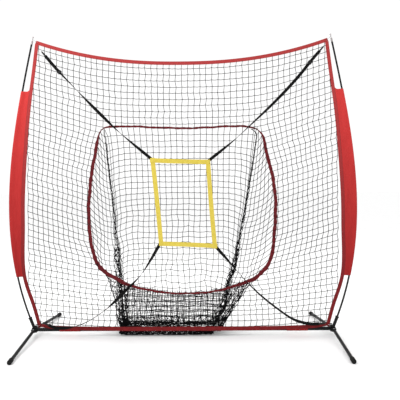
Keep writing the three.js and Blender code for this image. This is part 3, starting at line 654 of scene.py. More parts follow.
def column_place(column, z):
    x = CELL_WIDTH * column
    if abs(column) >= MOUTH_COLUMN:
        spread = MOUTH_SPREAD - SPREAD_LOST * abs(column)
        x += math.copysign(max(0, spread), column) * mouth_pull(z)
        x -= math.copysign(SIDE_SQUEEZE * (abs(column) - MOUTH_COLUMN), column)
    if z < CORNER_PULL_TOP and abs(x) > 0.4:
        beside = abs(x) - mouth_side[side_of(x)](max(MOUTH_SIDE_FOOT, z))
        pull = smooth_step(z, 0.30, 0.44) * (1 - smooth_step(z, 0.5, CORNER_PULL_TOP))
        x -= math.copysign(CORNER_PULL * pull * math.exp(-max(0, beside) / CORNER_PULL_REACH), x)
    return x


def front_knot(column, row):
    x, z = CELL_WIDTH * column, row_height(row, CELL_WIDTH * column)
    for _ in range(3):
        x = column_place(column, z)
        z = row_height(row, x)
    x += SWAY * math.sin(1.15 * row + 0.4 * column) * smooth_step(abs(x), 0.2, 0.7)
    loose = smooth_step(abs(x), 0.3, 0.5) * (1 - smooth_step(z, 0.5, 0.75))
    x += (STAGGER + LOOSE_STAGGER * loose) * (-1) ** row
    shake = wobble((x, row, z), 0.006, 0.11)
    low = 1 - smooth_step(z, 0.055, 0.13)
    return Vector((x + shake.x, 0.4 * shake.y + band_forward(x) * low, z + 0.5 * shake.z))


def front_net():
    knots = {(i, j): front_knot(i, j) for i in FRONT_COLUMNS for j in FRONT_ROWS}
    lines = []
    for row in FRONT_ROWS:
        for run in clipped([knots[i, row] for i in FRONT_COLUMNS], in_front_net):
            lines.append(threaded(run, SAG))
    for column in FRONT_COLUMNS:
        for run in clipped([knots[column, j] for j in FRONT_ROWS], in_front_net):
            lines.append(threaded(run, 0))
    placed("front_netting", cords_of("front_netting", lines, CORD_RADIUS), "net_cord", ["front_net"])


front_net()

# Pocket: a back panel between two seams, and a gusset from each seam forward to the mouth
SEAM = {
    "left": table([
        (0.02, 0.468), (0.281, 0.488), (0.663, 0.510), (0.968, 0.534), (1.3, 0.560), (1.49, 0.566),
    ]),
    "right": table([
        (0.02, 0.236), (0.205, 0.326), (0.586, 0.412), (0.968, 0.482), (1.3, 0.530), (1.49, 0.550),
    ]),
}
FRONT_CORNER = {
    "left": table([(0, 0.470), (0.25, 0.492), (0.43, 0.545)]),
    "right": table([(0, 0.255), (0.10, 0.300), (0.20, 0.372), (0.31, 0.446), (0.43, 0.545)]),
}
back_depth = table([
    (0.05, 0.245), (0.25, 0.25), (0.6, 0.24), (1.0, 0.203), (1.35, 0.118), (1.45, 0.06), (1.5, 0.008),
])
# By a row's height in the back panel: how far it has dropped at the seam, and risen at the mouth
seam_dip = table([(0, 0), (0.4, 0.045), (0.9, 0.055), (1.3, 0.045), (1.45, 0.012), (1.5, 0)])
front_rise = table([(0, 0), (0.35, 0.085), (0.9, 0.085), (1.2, 0.065), (1.42, 0.028), (1.5, 0)])
SEAM_DEPTH = 0.85
POCKET_ROWS = range(1, 34)
BACK_COLUMNS = range(-13, 14)
GUSSET_COLUMNS = range(1, 7)
GATHER = 0.055
FRONT_Y = 0.014
POCKET_FLOOR = 0.006


def front_width(side_name, z):
    """How far from the middle the pocket's front edge is: on the mouth's side, and below it on the net."""
    return mouth_side[side_name](z) if z > MOUTH_SIDE_FOOT else FRONT_CORNER[side_name](z)


def gathered(x, edge):
    """Where a cord at x in flat cloth lies beside a seam that draws the cloth in, and how bunched it is."""
    limit = edge - GATHER
    if x <= limit:
        return x, 0.0
    squeeze = math.exp(-(x - limit) / GATHER)
    return edge - GATHER * squeeze, 1 - squeeze


def shaken(place, loose=1.0):
    """A place in the pocket after the slack cloth has settled: more shake lower down."""
    low = 1 - smooth_step(place.z, 0.1, 1.2)
    shake = wobble(place, (0.006 + 0.016 * low) * loose, 0.13)
    shake += wobble(place, (0.002 + 0.012 * low) * loose, 0.045)
    moved = place + Vector((shake.x, 0.7 * shake.y, shake.z))
    moved.y = max(moved.y, place.y - 0.004) if place.y < 0.03 else moved.y
    moved.z = max(moved.z, POCKET_FLOOR)
    return moved


def seam_place(side_name, height):
    side = SIDES[side_name]
    z = max(POCKET_FLOOR, height - seam_dip(height))
    width = min(SEAM[side_name](z), front_width(side_name, height + front_rise(height)) - 0.004)
    return Vector((side * width, SEAM_DEPTH * back_depth(z), z))


def back_place(column, height):
    side_name = side_of(column)
    seam = seam_place(side_name, height)
    x, bunched = gathered(abs(column) * CELL_WIDTH, abs(seam.x))
    inward = 1 - (x / abs(seam.x)) ** 9
    z = seam.z + (max(POCKET_FLOOR, height) - seam.z) * inward
    y = seam.y + (back_depth(z) - seam.y) * inward + (0.016 if column % 2 else -0.016) * bunched
    return Vector((SIDES[side_name] * x, y, z))


def gusset_places(side_name, height):
    """The knots of one row from the mouth's side back to the seam, and which columns they are on."""
    seam = seam_place(side_name, height)
    level = height + front_rise(height)
    front = Vector((SIDES[side_name] * front_width(side_name, level), FRONT_Y, level))
    width = (front - seam).length
    made = {}
    for column in GUSSET_COLUMNS:
        share = column * CELL_WIDTH / max(width, 0.01)
        if share < 0.97:
            sag = 0.03 * math.sin(math.pi * share) * width / 0.25
            made[column] = seam.lerp(front, share) - UP * sag
    return front, made, seam


def pocket_height(row):
    return MOUTH_TOP - 0.006 - CELL_HEIGHT * row


# The pocket's slack bottom, folded on the ground behind and under the bar: depths and heights, from the back
FOLD_LINE = [
    (0.243, 0.060), (0.225, 0.016), (0.170, 0.008), (0.110, 0.030), (0.055, 0.055), (0.030, 0.020),
    (0.075, 0.008), (0.120, 0.036), (0.070, 0.070), (0.034, 0.040), (0.040, 0.012), (0.030, 0.050),
    (0.022, 0.085), (0.016, 0.125),
]
FOLD_STEPS = evenly(centripetal([(0, y, z) for y, z in FOLD_LINE], 6), 0.036)


def fold_place(column, step):
    """A knot of the slack bottom, by its column and how many steps it is along the folds."""
    y, z = FOLD_STEPS[step].yz
    side_name = side_of(column)
    x, bunched = gathered(abs(column) * CELL_WIDTH, FRONT_CORNER[side_name](z))
    crease = 0.02 * math.sin(2.1 * column + 1.3 * step)
    return Vector((SIDES[side_name] * x, y + 0.5 * crease + 0.01 * bunched, z + 0.5 * abs(crease)))


# The net under the mouth hangs in this many folds, one behind another, squeezed together sideways
APRON_FOLDS = 3
APRON_SQUEEZE = 0.84
APRON_LEVELS = [0.088 + 0.039 * i for i in range(9)]
APRON_SPACING = 0.026
APRON_SLIP = 0.018


def apron_place(column, z, fold):
    """A knot of the folds that hang from the mouth's lower edge down to the ground."""
    side_name = side_of(column)
    width = front_width(side_name, z) - 0.02 * fold
    x, bunched = gathered(abs(column) * CELL_WIDTH * APRON_SQUEEZE, width)
    depth = FRONT_Y + 0.004 + APRON_SPACING * fold + 0.02 * bunched * (column % 2)
    slip = APRON_SLIP * (fold % 2) - 0.005 * fold
    return Vector((SIDES[side_name] * x + slip, depth, z + 0.008 * math.sin(1.9 * fold)))


def below_mouth(x, z):
    return z < 0.44 and not in_mouth(x, z)


def pocket_net():
    """The pocket's netting from the mouth down, and its slack bottom with the folds under the mouth."""
    lines, slack = [], []
    for row in POCKET_ROWS:
        height = pocket_height(row)
        left_front, left, left_seam = gusset_places("left", height)
        right_front, right, right_seam = gusset_places("right", height)
        line = [left_front]
        line += [shaken(left[k]) for k in sorted(left, reverse=True)]
        line += [shaken(left_seam)]
        line += [shaken(back_place(i, height)) for i in BACK_COLUMNS]
        line += [shaken(right_seam)]
        line += [shaken(right[k]) for k in sorted(right)]
        line += [right_front]
        lines.append(threaded(line, SAG))
    for step in range(1, len(FOLD_STEPS)):
        line = [shaken(fold_place(i, step), 0.7) for i in BACK_COLUMNS]
        slack.append(threaded(line, SAG))
    for fold in range(APRON_FOLDS):
        for z in APRON_LEVELS:
            for run in clipped([shaken(apron_place(i, z, fold), 0.6) for i in BACK_COLUMNS], below_mouth):
                slack.append(threaded(run, SAG))
    for column in BACK_COLUMNS:
        start = Vector((min(max(column * CELL_WIDTH, -0.560), 0.540), 0.004, MOUTH_TOP - 0.006))
        line = [start] + [shaken(back_place(column, pocket_height(row))) for row in POCKET_ROWS]
        lines.append(threaded(line, 0))
        folded = line[-1:] + [shaken(fold_place(column, step), 0.7) for step in range(1, len(FOLD_STEPS))]
        slack.append(threaded(folded, 0))
        for fold in range(APRON_FOLDS):
            rise = [shaken(apron_place(column, z, fold), 0.6) for z in APRON_LEVELS]
            for run in clipped([folded[-1], *rise], below_mouth):
                slack.append(threaded(run, 0))
    for side_name in SIDES:
        columns = {column: [] for column in GUSSET_COLUMNS}
        for row in POCKET_ROWS:
            _, made, _ = gusset_places(side_name, pocket_height(row))
            for column, place in made.items():
                columns[column].append(shaken(place))
        lines += [threaded(line, 0) for line in columns.values() if len(line) > 1]
    placed("pocket_netting", cords_of("pocket_netting", lines, CORD_RADIUS), "net_cord", ["pocket_net"])
    placed("pocket_slack", cords_of("pocket_slack", slack, CORD_RADIUS), "net_cord")


pocket_net()


SEAM_CORD_RADIUS = 0.0021
SEAM_CORD_OFFSETS = (-0.002, 0.003)


def seam_cords():
    """The doubled cord that joins each gusset to the back panel."""
    lines = []
    for side_name in SIDES:
        for offset in SEAM_CORD_OFFSETS:
            line = [MOUTH_CORNERS[side_name] + BACKWARD * 0.003]
            for step in range(4 * len(POCKET_ROWS)):
                height = MOUTH_TOP - 0.012 - CELL_HEIGHT * step / 4
                place = shaken(seam_place(side_name, max(0.012, height)))
                line.append(place + Vector((offset + 0.002 * math.sin(1.7 * step), offset, 0)))
            lines.append(even(line))
    placed("pocket_seams", cords_of("pocket_seams", lines, SEAM_CORD_RADIUS), "net_cord")


seam_cords()

# Where the slack netting is drawn together: strands that zigzag from knot to knot about a path
STRAND_STEP = 0.021
BUNCH_TOP = 1.42
BUNCH_LOW = 0.62
GOLDEN_TURN = 2.4
bunch_radius = table([(0, 0.046), (0.25, 0.042), (0.47, 0.034), (0.8, 0.018), (1.1, 0.008), (1.5, 0.001)])
BUNCH_SIZE = {"left": 1.0, "right": 0.72}
# The stretch of the mouth's lower edge, by distance from the middle, that strands run down from
CORNER_EDGE = (0.36, 0.53)
CORNER_STRAND_SPACING = 0.016
# Rolls of slack net behind and under the bar: ends along X, then depth, height, radius and number of strands
ROLLS = [
    ((-0.470, 0.250), (0.040, 0.080), 0.010, 8),
    ((-0.466, 0.236), (0.022, 0.0185), 0.018, 14),
]


def bunch(path, radii, count, across, zigzag):
    """Strands spread evenly over a round bundle along a path, with its radius at each place."""
    lines = []
    for k in range(count):
        angle, share = GOLDEN_TURN * k, math.sqrt((k + 0.5) / count)
        line = []
        for i, (place, radius) in enumerate(zip(path, radii)):
            here = place + (across[0] * math.cos(angle) + across[1] * math.sin(angle)) * (radius * share)
            here += across[0] * (zigzag * (-1) ** (i + k))
            here += wobble((here.x, here.y + 0.37 * k, here.z), 0.5 * radius, 0.07)
            here.z = max(POCKET_FLOOR, here.z)
            here.y = max(FRONT_Y, here.y)
            line.append((here, KNOT_SIZE if i % 2 else 1.0))
        lines.append(line)
    return lines


def seam_strands(side_name, side):
    """Netting drawn in along a seam: a few strands from the top, and more in the slack part below."""
    path = []
    for level in np.arange(BUNCH_TOP, 0.012, -STRAND_STEP):
        place = seam_place(side_name, level)
        place.x -= side * 0.014 * (1 - smooth_step(place.z, 0.2, 0.6))
        path.append(place)
    radii = [bunch_radius(place.z) * BUNCH_SIZE[side_name] for place in path]
    low = [place.z < BUNCH_LOW for place in path].index(True)
    lines = bunch(path, radii, 3, (ALONG_X, BACKWARD), 0.003)
    return lines + bunch(path[low:], radii[low:], 8, (ALONG_X, BACKWARD), 0.007)


def corner_strands(side_name, side):
    """Strands from the mouth's lower corner down the pocket's front edge to the ground."""
    near, far = CORNER_EDGE
    starts = [point for point in mouth_line if near < side * point.x < far and point.z < 0.5]
    lines = []
    for k, start in enumerate(starts[::4]):
        line = []
        for z in np.arange(start.z, 0.02, -STRAND_STEP):
            reached = smooth_step(start.z - z, 0, 0.12)
            edge = front_width(side_name, min(z, 0.4)) - CORNER_STRAND_SPACING * k
            x = abs(start.x) + (edge - abs(start.x)) * reached
            line.append(Vector((side * x, FRONT_Y + 0.006 + 0.02 * (k % 3) * reached, z)))
        lines += bunch(line, [0.004] * len(line), 1, (ALONG_X, BACKWARD), 0.004)
    return lines


def roll_strands(start, end, y, z, radius, count):
    """A roll of slack netting along the bar, thin at its ends and uneven on its way."""
    path = [Vector((x, y, z)) for x in np.arange(start, end, 0.019)]
    radii = []
    for place in path:
        full = smooth_step(place.x, start, start + 0.06) * smooth_step(-place.x, -end, 0.09 - end)
        radii.append(radius * (0.15 + 0.85 * full) * (1 + 0.9 * noise.noise(place / 0.04)))
    return bunch(path, radii, count, (UP, BACKWARD), 0.005)


def bunched_netting():
    lines = []
    for side_name, side in SIDES.items():
        lines += seam_strands(side_name, side)
        lines += corner_strands(side_name, side)
    for (start, end), (y, z), radius, count in ROLLS:
        lines += roll_strands(start, end, y, z, radius, count)
    placed("pocket_gathers", cords_of("pocket_gathers", lines, CORD_RADIUS), "net_cord")


bunched_netting()

# ---- Webbing round the net ----


def in_plane(points):
    """The direction across a tape that lies flat in the net's plane."""
    return [BACKWARD.cross(along).normalized() for along in directions(points)]


STITCH_SPACING = 0.007
THREAD_RADIUS = 0.0004
STITCH_DEPTH = 0.0006


def stitches(name, line, across, offset, lift, thread, slot):
    """A row of short stitches at an offset from a tape's middle, on both of its faces."""
    line = evenly(line, STITCH_SPACING / 2)
    made = []
    along = directions(line)
    for i in range(0, len(line) - 1, 2):
        side = across[round(i / (len(line) - 1) * (len(across) - 1))]
        face = along[i].cross(side)
        for way in (-1, 1):
            a = line[i] + side * offset + face * (way * lift)
            b = line[i + 1] + side * offset + face * (way * lift)
            sunk = face * (way * STITCH_DEPTH)
            made.append(even([a - sunk, a.lerp(b, 0.25), a.lerp(b, 0.75), b - sunk]))
    return placed(name, cords_of(name, made, THREAD_RADIUS, 0), slot, finish=THREADS[thread])


def border(name, line, width, thickness, node, finish=None):
    """Red webbing along an edge of the net, with a row of stitches near each of its own edges."""
    widths = width if isinstance(width, list) else [width]
    across = in_plane(line)
    points, faces = tape(line, across, width, thickness)
    piece = placed(name, mesh_of(name, points, faces), "red_webbing", [node], finish=finish)
    for i, offset in enumerate((-0.34, 0.34)):
        stitching = f"{name}_stitching_{i + 1}"
        stitches(stitching, line, across, offset * min(widths), thickness / 2, "red", "red_webbing")


def net_borders():
    half = WEBBING_WIDTH / 2
    top = [Vector((x, 0, top_edge(x) - half)) for x in np.linspace(-1.047, 1.047, 90)]
    border("top_webbing", top, BORDER_WIDTH, WEBBING_THICKNESS, "webbing_top")
    heights = np.linspace(FOOT_Z, TOP_CORNER - WEBBING_WIDTH, 90)
    for side_name, side in SIDES.items():
        line = [Vector((side * (side_edge(z) + half), 0, z)) for z in heights]
        name = f"side_webbing_{side_name}"
        border(name, line, BORDER_WIDTH, WEBBING_THICKNESS, f"webbing_side_{side_name}")
    xs = np.linspace(-FOOT_X, FOOT_X, 110)
    bottom = [Vector((x, band_forward(x), band_height(x))) for x in xs]
    widths = [band_width(x) for x in xs]
    border("bottom_webbing", bottom, widths, BAND_THICKNESS, "webbing_bottom", LOWER_WEBBING)


net_borders()

# Half the tape's width by height: it's rolled narrow at the top and bottom and lies flat in the lower corners
binding_half = table([
    (0.30, 0.0062), (0.34, 0.0085), (0.40, 0.0140), (0.50, 0.0145), (0.62, 0.0128), (1.36, 0.0122),
    (1.44, 0.0080), (1.51, 0.0074),
])
BINDING_HALF_THICKNESS = 0.0022
BINDING_STEP = 0.008


def mouth_binding():
    """The maroon tape round the pocket's mouth, puckered where the cords pull on it."""
    loop = evenly([*mouth_line, mouth_line[0]], BINDING_STEP)[:-1]
    line = [point + wobble(point, 0.004, 0.07) for point in loop]
    count = len(line)
    rings = []
    for i, point in enumerate(line):
        along = (line[(i + 1) % count] - line[i - 1]).normalized()
        side = BACKWARD.cross(along)
        pucker = abs(math.sin(math.pi * i * BINDING_STEP / CELL_WIDTH))
        half = binding_half(point.z) * (0.84 + 0.22 * pucker + 0.18 * noise.noise(point / 0.03))
        pinch = min((point - corner).length for corner in MOUTH_CORNERS.values())
        half *= 1 - 0.62 * math.exp(-((pinch / 0.045) ** 2))
        ring = []
        for u, v in TAPE_SECTION:
            crumple = noise.noise(Vector((2 * u, 0, i * 0.35)))
            depth = v * BINDING_HALF_THICKNESS + BINDING_HALF_THICKNESS * crumple
            ring.append(point + side * (u * half) + BACKWARD * depth)
        rings.append(ring)
    points, faces = loft(rings, closed=True)
    piece = placed("mouth_tape", mesh_of("mouth_tape", points, faces), "maroon_binding", ["mouth_binding"])


mouth_binding()

# ---- Strike zone ----

ZONE_Y = -0.024
ZONE_CORNERS = [(-0.228, 1.277), (-0.168, 0.650), (0.247, 0.630), (0.200, 1.262)]
ZONE_STRIP = 0.032
ZONE_THICKNESS = 0.0024


def strike_zone():
    """Four yellow tapes, each lapped over the next at a corner, sewn into one frame."""
    corners = [Vector((x, ZONE_Y, z)) for x, z in ZONE_CORNERS]
    middle = sum(corners, Vector()) / 4
    points, faces, whole = [], [], 0
    for i, start in enumerate(corners):
        end = corners[(i + 1) % 4]
        along = (end - start).normalized()
        inward = BACKWARD.cross(along)
        inward *= 1 if inward.dot(middle - start) > 0 else -1
        layer = BACKWARD * (0.0007 * (-1) ** i)
        stretch = [
            start.lerp(end, t) + inward * (ZONE_STRIP / 2 + 0.0025 * math.sin(math.pi * t)) + layer
            + BACKWARD * (0.004 * noise.noise(Vector((3 * t, i, 0))) * math.sin(math.pi * t))
            for t in np.linspace(0, 1, 40)
        ]
        across = [inward] * len(stretch)
        more, skin = tape(stretch, across, ZONE_STRIP, ZONE_THICKNESS / 2)
        faces += [tuple(index + len(points) for index in face) for face in skin]
        points += more
        whole += length_of(stretch)
        for k, offset in enumerate((-0.4, 0.4)):
            stitches(
                f"zone_stitching_{i + 1}_{k + 1}", stretch, across, offset * ZONE_STRIP, ZONE_THICKNESS / 4,
                "yellow", "yellow_webbing",
            )
    piece = placed("zone_webbing", mesh_of("zone_webbing", points, faces), "yellow_webbing", ["strike_zone"])


strike_zone()

# ---- Poles and their sleeves ----

POLE_FOOT = Vector((1.068, 0, 0.052))
POLE_TOP = Vector((1.066, 0, 2.158))
POLE_LEANS = (math.radians(23.5), math.radians(12))
POLE_HANDLE = 0.738
POLE_RADIUS = 0.0064
SOCKET_FLOOR = 0.030
FERRULE_RADIUS = 0.0073
FERRULE_LENGTH = 0.070
TIP_RADIUS = 0.0076
TIP_LENGTHS = {"cap": 0.030, "neck": 0.020, "head": 0.009}
POLE_SECTIONS = ("lower", "middle", "upper")
POLE_GAP = 0.004
# Edges that turn by more than this stay sharp on turned and pressed pieces
SHARP_TURN = math.radians(35)


def bow_points(side, count=400):
    """The bow of a pole as one cubic curve, leaning out at its foot and in at its top."""
    lean, arrive = POLE_LEANS
    a, d = POLE_FOOT, POLE_TOP
    b = a + Vector((math.sin(lean), 0, math.cos(lean))) * POLE_HANDLE
    c = d - Vector((-math.sin(arrive), 0, math.cos(arrive))) * POLE_HANDLE
    line = []
    for t in np.linspace(0, 1, count):
        point = a * (1 - t) ** 3 + b * (3 * t * (1 - t) ** 2) + c * (3 * t * t * (1 - t)) + d * t ** 3
        line.append(Vector((side * point.x, point.y, point.z)))
    return line


BOW = {name: evenly(bow_points(side), 0.005) for name, side in SIDES.items()}
BOW_LENGTH = length_of(BOW["right"])


def along_bow(side_name, distance):
    line = BOW[side_name]
    at = min(1, max(0, distance / BOW_LENGTH)) * (len(line) - 1)
    i = min(int(at), len(line) - 2)
    return line[i].lerp(line[i + 1], at - i)


def bow_stretch(side_name, start, end, spacing=0.012):
    count = max(2, round((end - start) / spacing))
    return [along_bow(side_name, start + (end - start) * i / count) for i in range(count + 1)]


def rod_piece(name, line, radius, slot, nodes=(), body="frame", resolution=6):
    return placed(name, cords_of(name, [even(line)], radius, resolution), slot, nodes, body)


def lathe(name, profile, origin, direction, slot, nodes=(), body="frame", sides=48):
    """A turned piece from (radius, distance) points along a direction from an origin."""
    turn = BACKWARD.rotation_difference(direction) if direction != BACKWARD else Quaternion()
    angles = [2 * math.pi * i / sides for i in range(sides)]
    rings = [
        [origin + turn @ Vector((radius * math.cos(a), distance, -radius * math.sin(a))) for a in angles]
        for radius, distance in profile
    ]
    mesh = mesh_of(name, *loft(rings))
    mesh.set_sharp_from_angle(angle=SHARP_TURN)
    return placed(name, mesh, slot, nodes, body)


def poles():
    start = SOCKET_FLOOR
    end = BOW_LENGTH - TIP_LENGTHS["head"] - TIP_LENGTHS["neck"] - POLE_GAP
    step = (end - start) / 3
    for side_name in SIDES:
        for i, section in enumerate(POLE_SECTIONS):
            line = bow_stretch(side_name, start + i * step, start + (i + 1) * step)
            name = f"{section}_{side_name}"
            rod_piece(f"pole_tube_{name}", line, POLE_RADIUS, "fibreglass", [f"pole_{name}"])
        for i, place in ((1, "lower"), (2, "upper")):
            joint = start + i * step
            half = FERRULE_LENGTH / 2
            line = bow_stretch(side_name, joint - half, joint + half)
            name = f"{place}_{side_name}"
            rod_piece(f"ferrule_{name}", line, FERRULE_RADIUS, "steel", [f"pole_ferrule_{name}"])
        pole_tip(side_name)


def pole_tip(side_name):
    neck = TIP_LENGTHS["cap"] + TIP_LENGTHS["neck"]
    head = neck + TIP_LENGTHS["head"]
    origin = along_bow(side_name, BOW_LENGTH - head)
    direction = (along_bow(side_name, BOW_LENGTH) - origin).normalized()
    profile = [
        (0.0058, 0.001), (0.0070, 0), (TIP_RADIUS, 0.0008), (TIP_RADIUS, 0.022), (0.0068, 0.027),
        (0.0040, 0.0295), (0.0029, 0.031), (0.0028, neck - 0.001), (0.0045, neck + 0.0004),
        (0.0066, neck + 0.0015), (0.0070, neck + 0.003), (0.0070, head - 0.004), (0.0062, head - 0.0016),
        (0.0042, head - 0.0005), (0.0008, head),
    ]
    lathe(f"tip_{side_name}", profile, origin, direction, "clear_plastic", [f"pole_tip_{side_name}"])


poles()

SLEEVE_LOW = 0.430
SLEEVE_HIGH = 1.763
SLEEVE_RADIUS = 0.0098
SLEEVE_CLOTH = 0.0006
# Half the sleeve's thickness where it lies flat between the webbing and the pole
SLEEVE_FLAT = 0.0016
# The sleeve's inner edge lies on the webbing by this share of the webbing's width
SLEEVE_LAP = 0.8
SLEEVE_SEAMS = {"inner": 0.09, "outer": 0.83}


def bow_at_height(side_name, z):
    return next(
        a.lerp(b, (z - a.z) / (b.z - a.z)) for a, b in zip(BOW[side_name], BOW[side_name][1:]) if b.z >= z
    )


def sleeve_section(pole, inner_x, side, z):
    """One ring of a sleeve: out along the front layer, round the pole, and back along the rear layer."""
    span = abs(pole.x) - inner_x
    back = []
    for reach in np.linspace(0, 1, 12) * span:
        swell = SLEEVE_FLAT + (SLEEVE_RADIUS - SLEEVE_FLAT) * smooth_step(reach, span - 0.03, span)
        back.append((inner_x + reach, swell))
    front = [(x, -y) for x, y in back]
    around = [
        (abs(pole.x) + SLEEVE_RADIUS * math.sin(a), -SLEEVE_RADIUS * math.cos(a))
        for a in np.linspace(0, math.pi, 9)[1:-1]
    ]
    ring = []
    for i, (x, y) in enumerate([*front, *around, *back[::-1]]):
        place = Vector((side * x, y, z))
        middle = math.sin(math.pi * min(1, max(0, (x - inner_x) / span)))
        crease = 0.0016 * noise.noise(Vector((x * 30, i * 0.2, z * 7)))
        crease += 0.0008 * noise.noise(place * 60)
        billow = 0.002 * noise.noise(Vector((0, 0, z * 4)))
        place.y += crease * middle * (1 if y > 0 else -1) + middle * billow
        ring.append(place)
    return ring


def cloth_loop(name, rings, flipped, node):
    """An open loop of thin satin over rings, one of which stands for the distance round it."""
    points, faces = loft(rings, capped=False)
    if flipped:
        faces = [face[::-1] for face in faces]
    piece = placed(name, mesh_of(name, points, faces), "red_fabric", [node])
    piece.modifiers.new("cloth", "SOLIDIFY").thickness = SLEEVE_CLOTH


def pole_sleeve(side_name, side):
    rings = []
    heights = np.linspace(SLEEVE_LOW, SLEEVE_HIGH, 150)
    for z in heights:
        pole = bow_at_height(side_name, z)
        inner = side_edge(z) + WEBBING_WIDTH * SLEEVE_LAP
        near_top = smooth_step(z, SLEEVE_HIGH - 0.03, SLEEVE_HIGH)
        ring = sleeve_section(pole, inner, side, z)
        for place in ring:
            share = min(1, max(0, (abs(place.x) - inner) / (abs(pole.x) - inner)))
            place.z += near_top * 0.012 * (1 - smooth_step(share, 0, 0.35))
        rings.append(ring)
    name, node = f"satin_sleeve_{side_name}", f"pole_sleeve_{side_name}"
    cloth_loop(name, rings, side < 0, node)
    for edge, at in SLEEVE_SEAMS.items():
        line = []
        for z in heights[1:-1:2]:
            inner = side_edge(z) + WEBBING_WIDTH * SLEEVE_LAP
            span = abs(bow_at_height(side_name, z).x) - inner - 0.012
            line.append(Vector((side * (inner + at * span), 0, z)))
        name = f"sleeve_stitching_{edge}_{side_name}"
        stitches(name, line, in_plane(line), 0, 0.0024, "red", "red_fabric")


for side_name, side in SIDES.items():
    pole_sleeve(side_name, side)

# ---- Bottom bar, its sleeves and its buttons ----

BAR_HEIGHT = 0.050
BAR_RADIUS = 0.0125
BAR_WALL = 0.0015
BAR_EDGE = 0.0006
BAR_CENTRE_HALF = 0.3558
BAR_OUTER_START = 0.3563
BAR_END = 1.078
BUTTON_X = 0.326
BUTTON_PROFILE = [
    (0.0052, 0.0045), (0.0055, 0.0048), (0.0055, 0.0062), (0.0052, 0.0065), (0.0040, 0.0068),
    (0.0040, 0.0130), (0.0036, 0.0141), (0.0026, 0.0149), (0.0010, 0.0152),
]
BAR_SLEEVE = (0.740, 0.888)
BAR_LOOP = 0.0141
BAR_PINCH = (-0.0148, 0.0690)
BAR_PINCH_ANGLE = math.radians(127)


def bar_tube(start, end):
    """The profile of a piece of the bar's tube, with its outer edges taken off."""
    inside, bevelled = BAR_RADIUS - BAR_WALL, BAR_RADIUS - BAR_EDGE
    return [
        (inside, start), (bevelled, start), (BAR_RADIUS, start + BAR_EDGE), (BAR_RADIUS, end - BAR_EDGE),
        (bevelled, end), (inside, end),
    ]


def bar():
    centre = bar_tube(-BAR_CENTRE_HALF, BAR_CENTRE_HALF)
    lathe("bar_tube_centre", centre, UP * BAR_HEIGHT, ALONG_X, "powder_coat", ["bar_centre"])
    outer = bar_tube(BAR_OUTER_START, BAR_END)
    for side_name, side in SIDES.items():
        name = f"bar_tube_{side_name}"
        lathe(name, outer, UP * BAR_HEIGHT, ALONG_X * side, "powder_coat", [f"bar_end_{side_name}"])
        origin = Vector((side * BUTTON_X, 0, BAR_HEIGHT))
        button, node = f"snap_button_{side_name}", f"bar_button_{side_name}"
        lathe(button, BUTTON_PROFILE, origin, UP, "steel", [node], f"{side_name}_button", 32)
        bar_sleeve(side_name, side)


def bar_sleeve(side_name, side):
    """A cloth loop round the bar, drawn up to a pinch that is sewn to the back of the webbing."""
    start, end = BAR_SLEEVE
    rings = []
    for x in np.linspace(start, end, 46):
        ring = []
        for a in np.linspace(0, 2 * math.pi, 48, endpoint=False):
            way = Vector((0, math.cos(a), math.sin(a)))
            pucker = noise.noise(Vector((x * 40, 2.5 * math.cos(a), 2.5 * math.sin(a))))
            place = Vector((side * x, 0, BAR_HEIGHT)) + way * (BAR_LOOP + 0.0007 * pucker)
            turn = abs((a - BAR_PINCH_ANGLE + math.pi) % (2 * math.pi) - math.pi)
            drawn = (1 - smooth_step(turn, 0, 1.1)) ** 2
            pinch = Vector((side * x, BAR_PINCH[0], BAR_PINCH[1] + 0.001 * pucker))
            ring.append(place.lerp(pinch, drawn))
        rings.append(ring)
    name, node = f"bar_cloth_{side_name}", f"bar_sleeve_{side_name}"
    cloth_loop(name, rings, side > 0, node)


bar()

# ---- Folding legs and foot caps ----

BRACKET_X = 1.067
PIVOT_Y = 0.038
LEG_REACH = 0.492
LEG_TOE_IN = math.radians(3)
LEG_RADIUS = 0.011
CAP_RADIUS = 0.015
CAP_LENGTH = 0.045
CAP_FLOOR = 0.007
CAP_EDGE = 0.008
CAP_AXIS_HEIGHT = 0.0142
LEG_DROOP = math.atan((BAR_HEIGHT - CAP_AXIS_HEIGHT) / (LEG_REACH - CAP_LENGTH / 2))
EYE_RADIUS = 0.012
EYE_HALF = 0.004
# How square the eye's cross-section is: 1 is an ellipse, and less is squarer
EYE_SQUARENESS = 0.35


def leg_frame(side, end):
    """The pivot's place, and the leg's direction, level side and upright."""
    pivot = Vector((side * BRACKET_X, end * PIVOT_Y, BAR_HEIGHT))
    level = Vector((-side * math.sin(LEG_TOE_IN), end * math.cos(LEG_TOE_IN), 0))
    along = (level * math.cos(LEG_DROOP) - UP * math.sin(LEG_DROOP)).normalized()
    across = along.cross(UP).normalized()
    return pivot, along, across, across.cross(along)


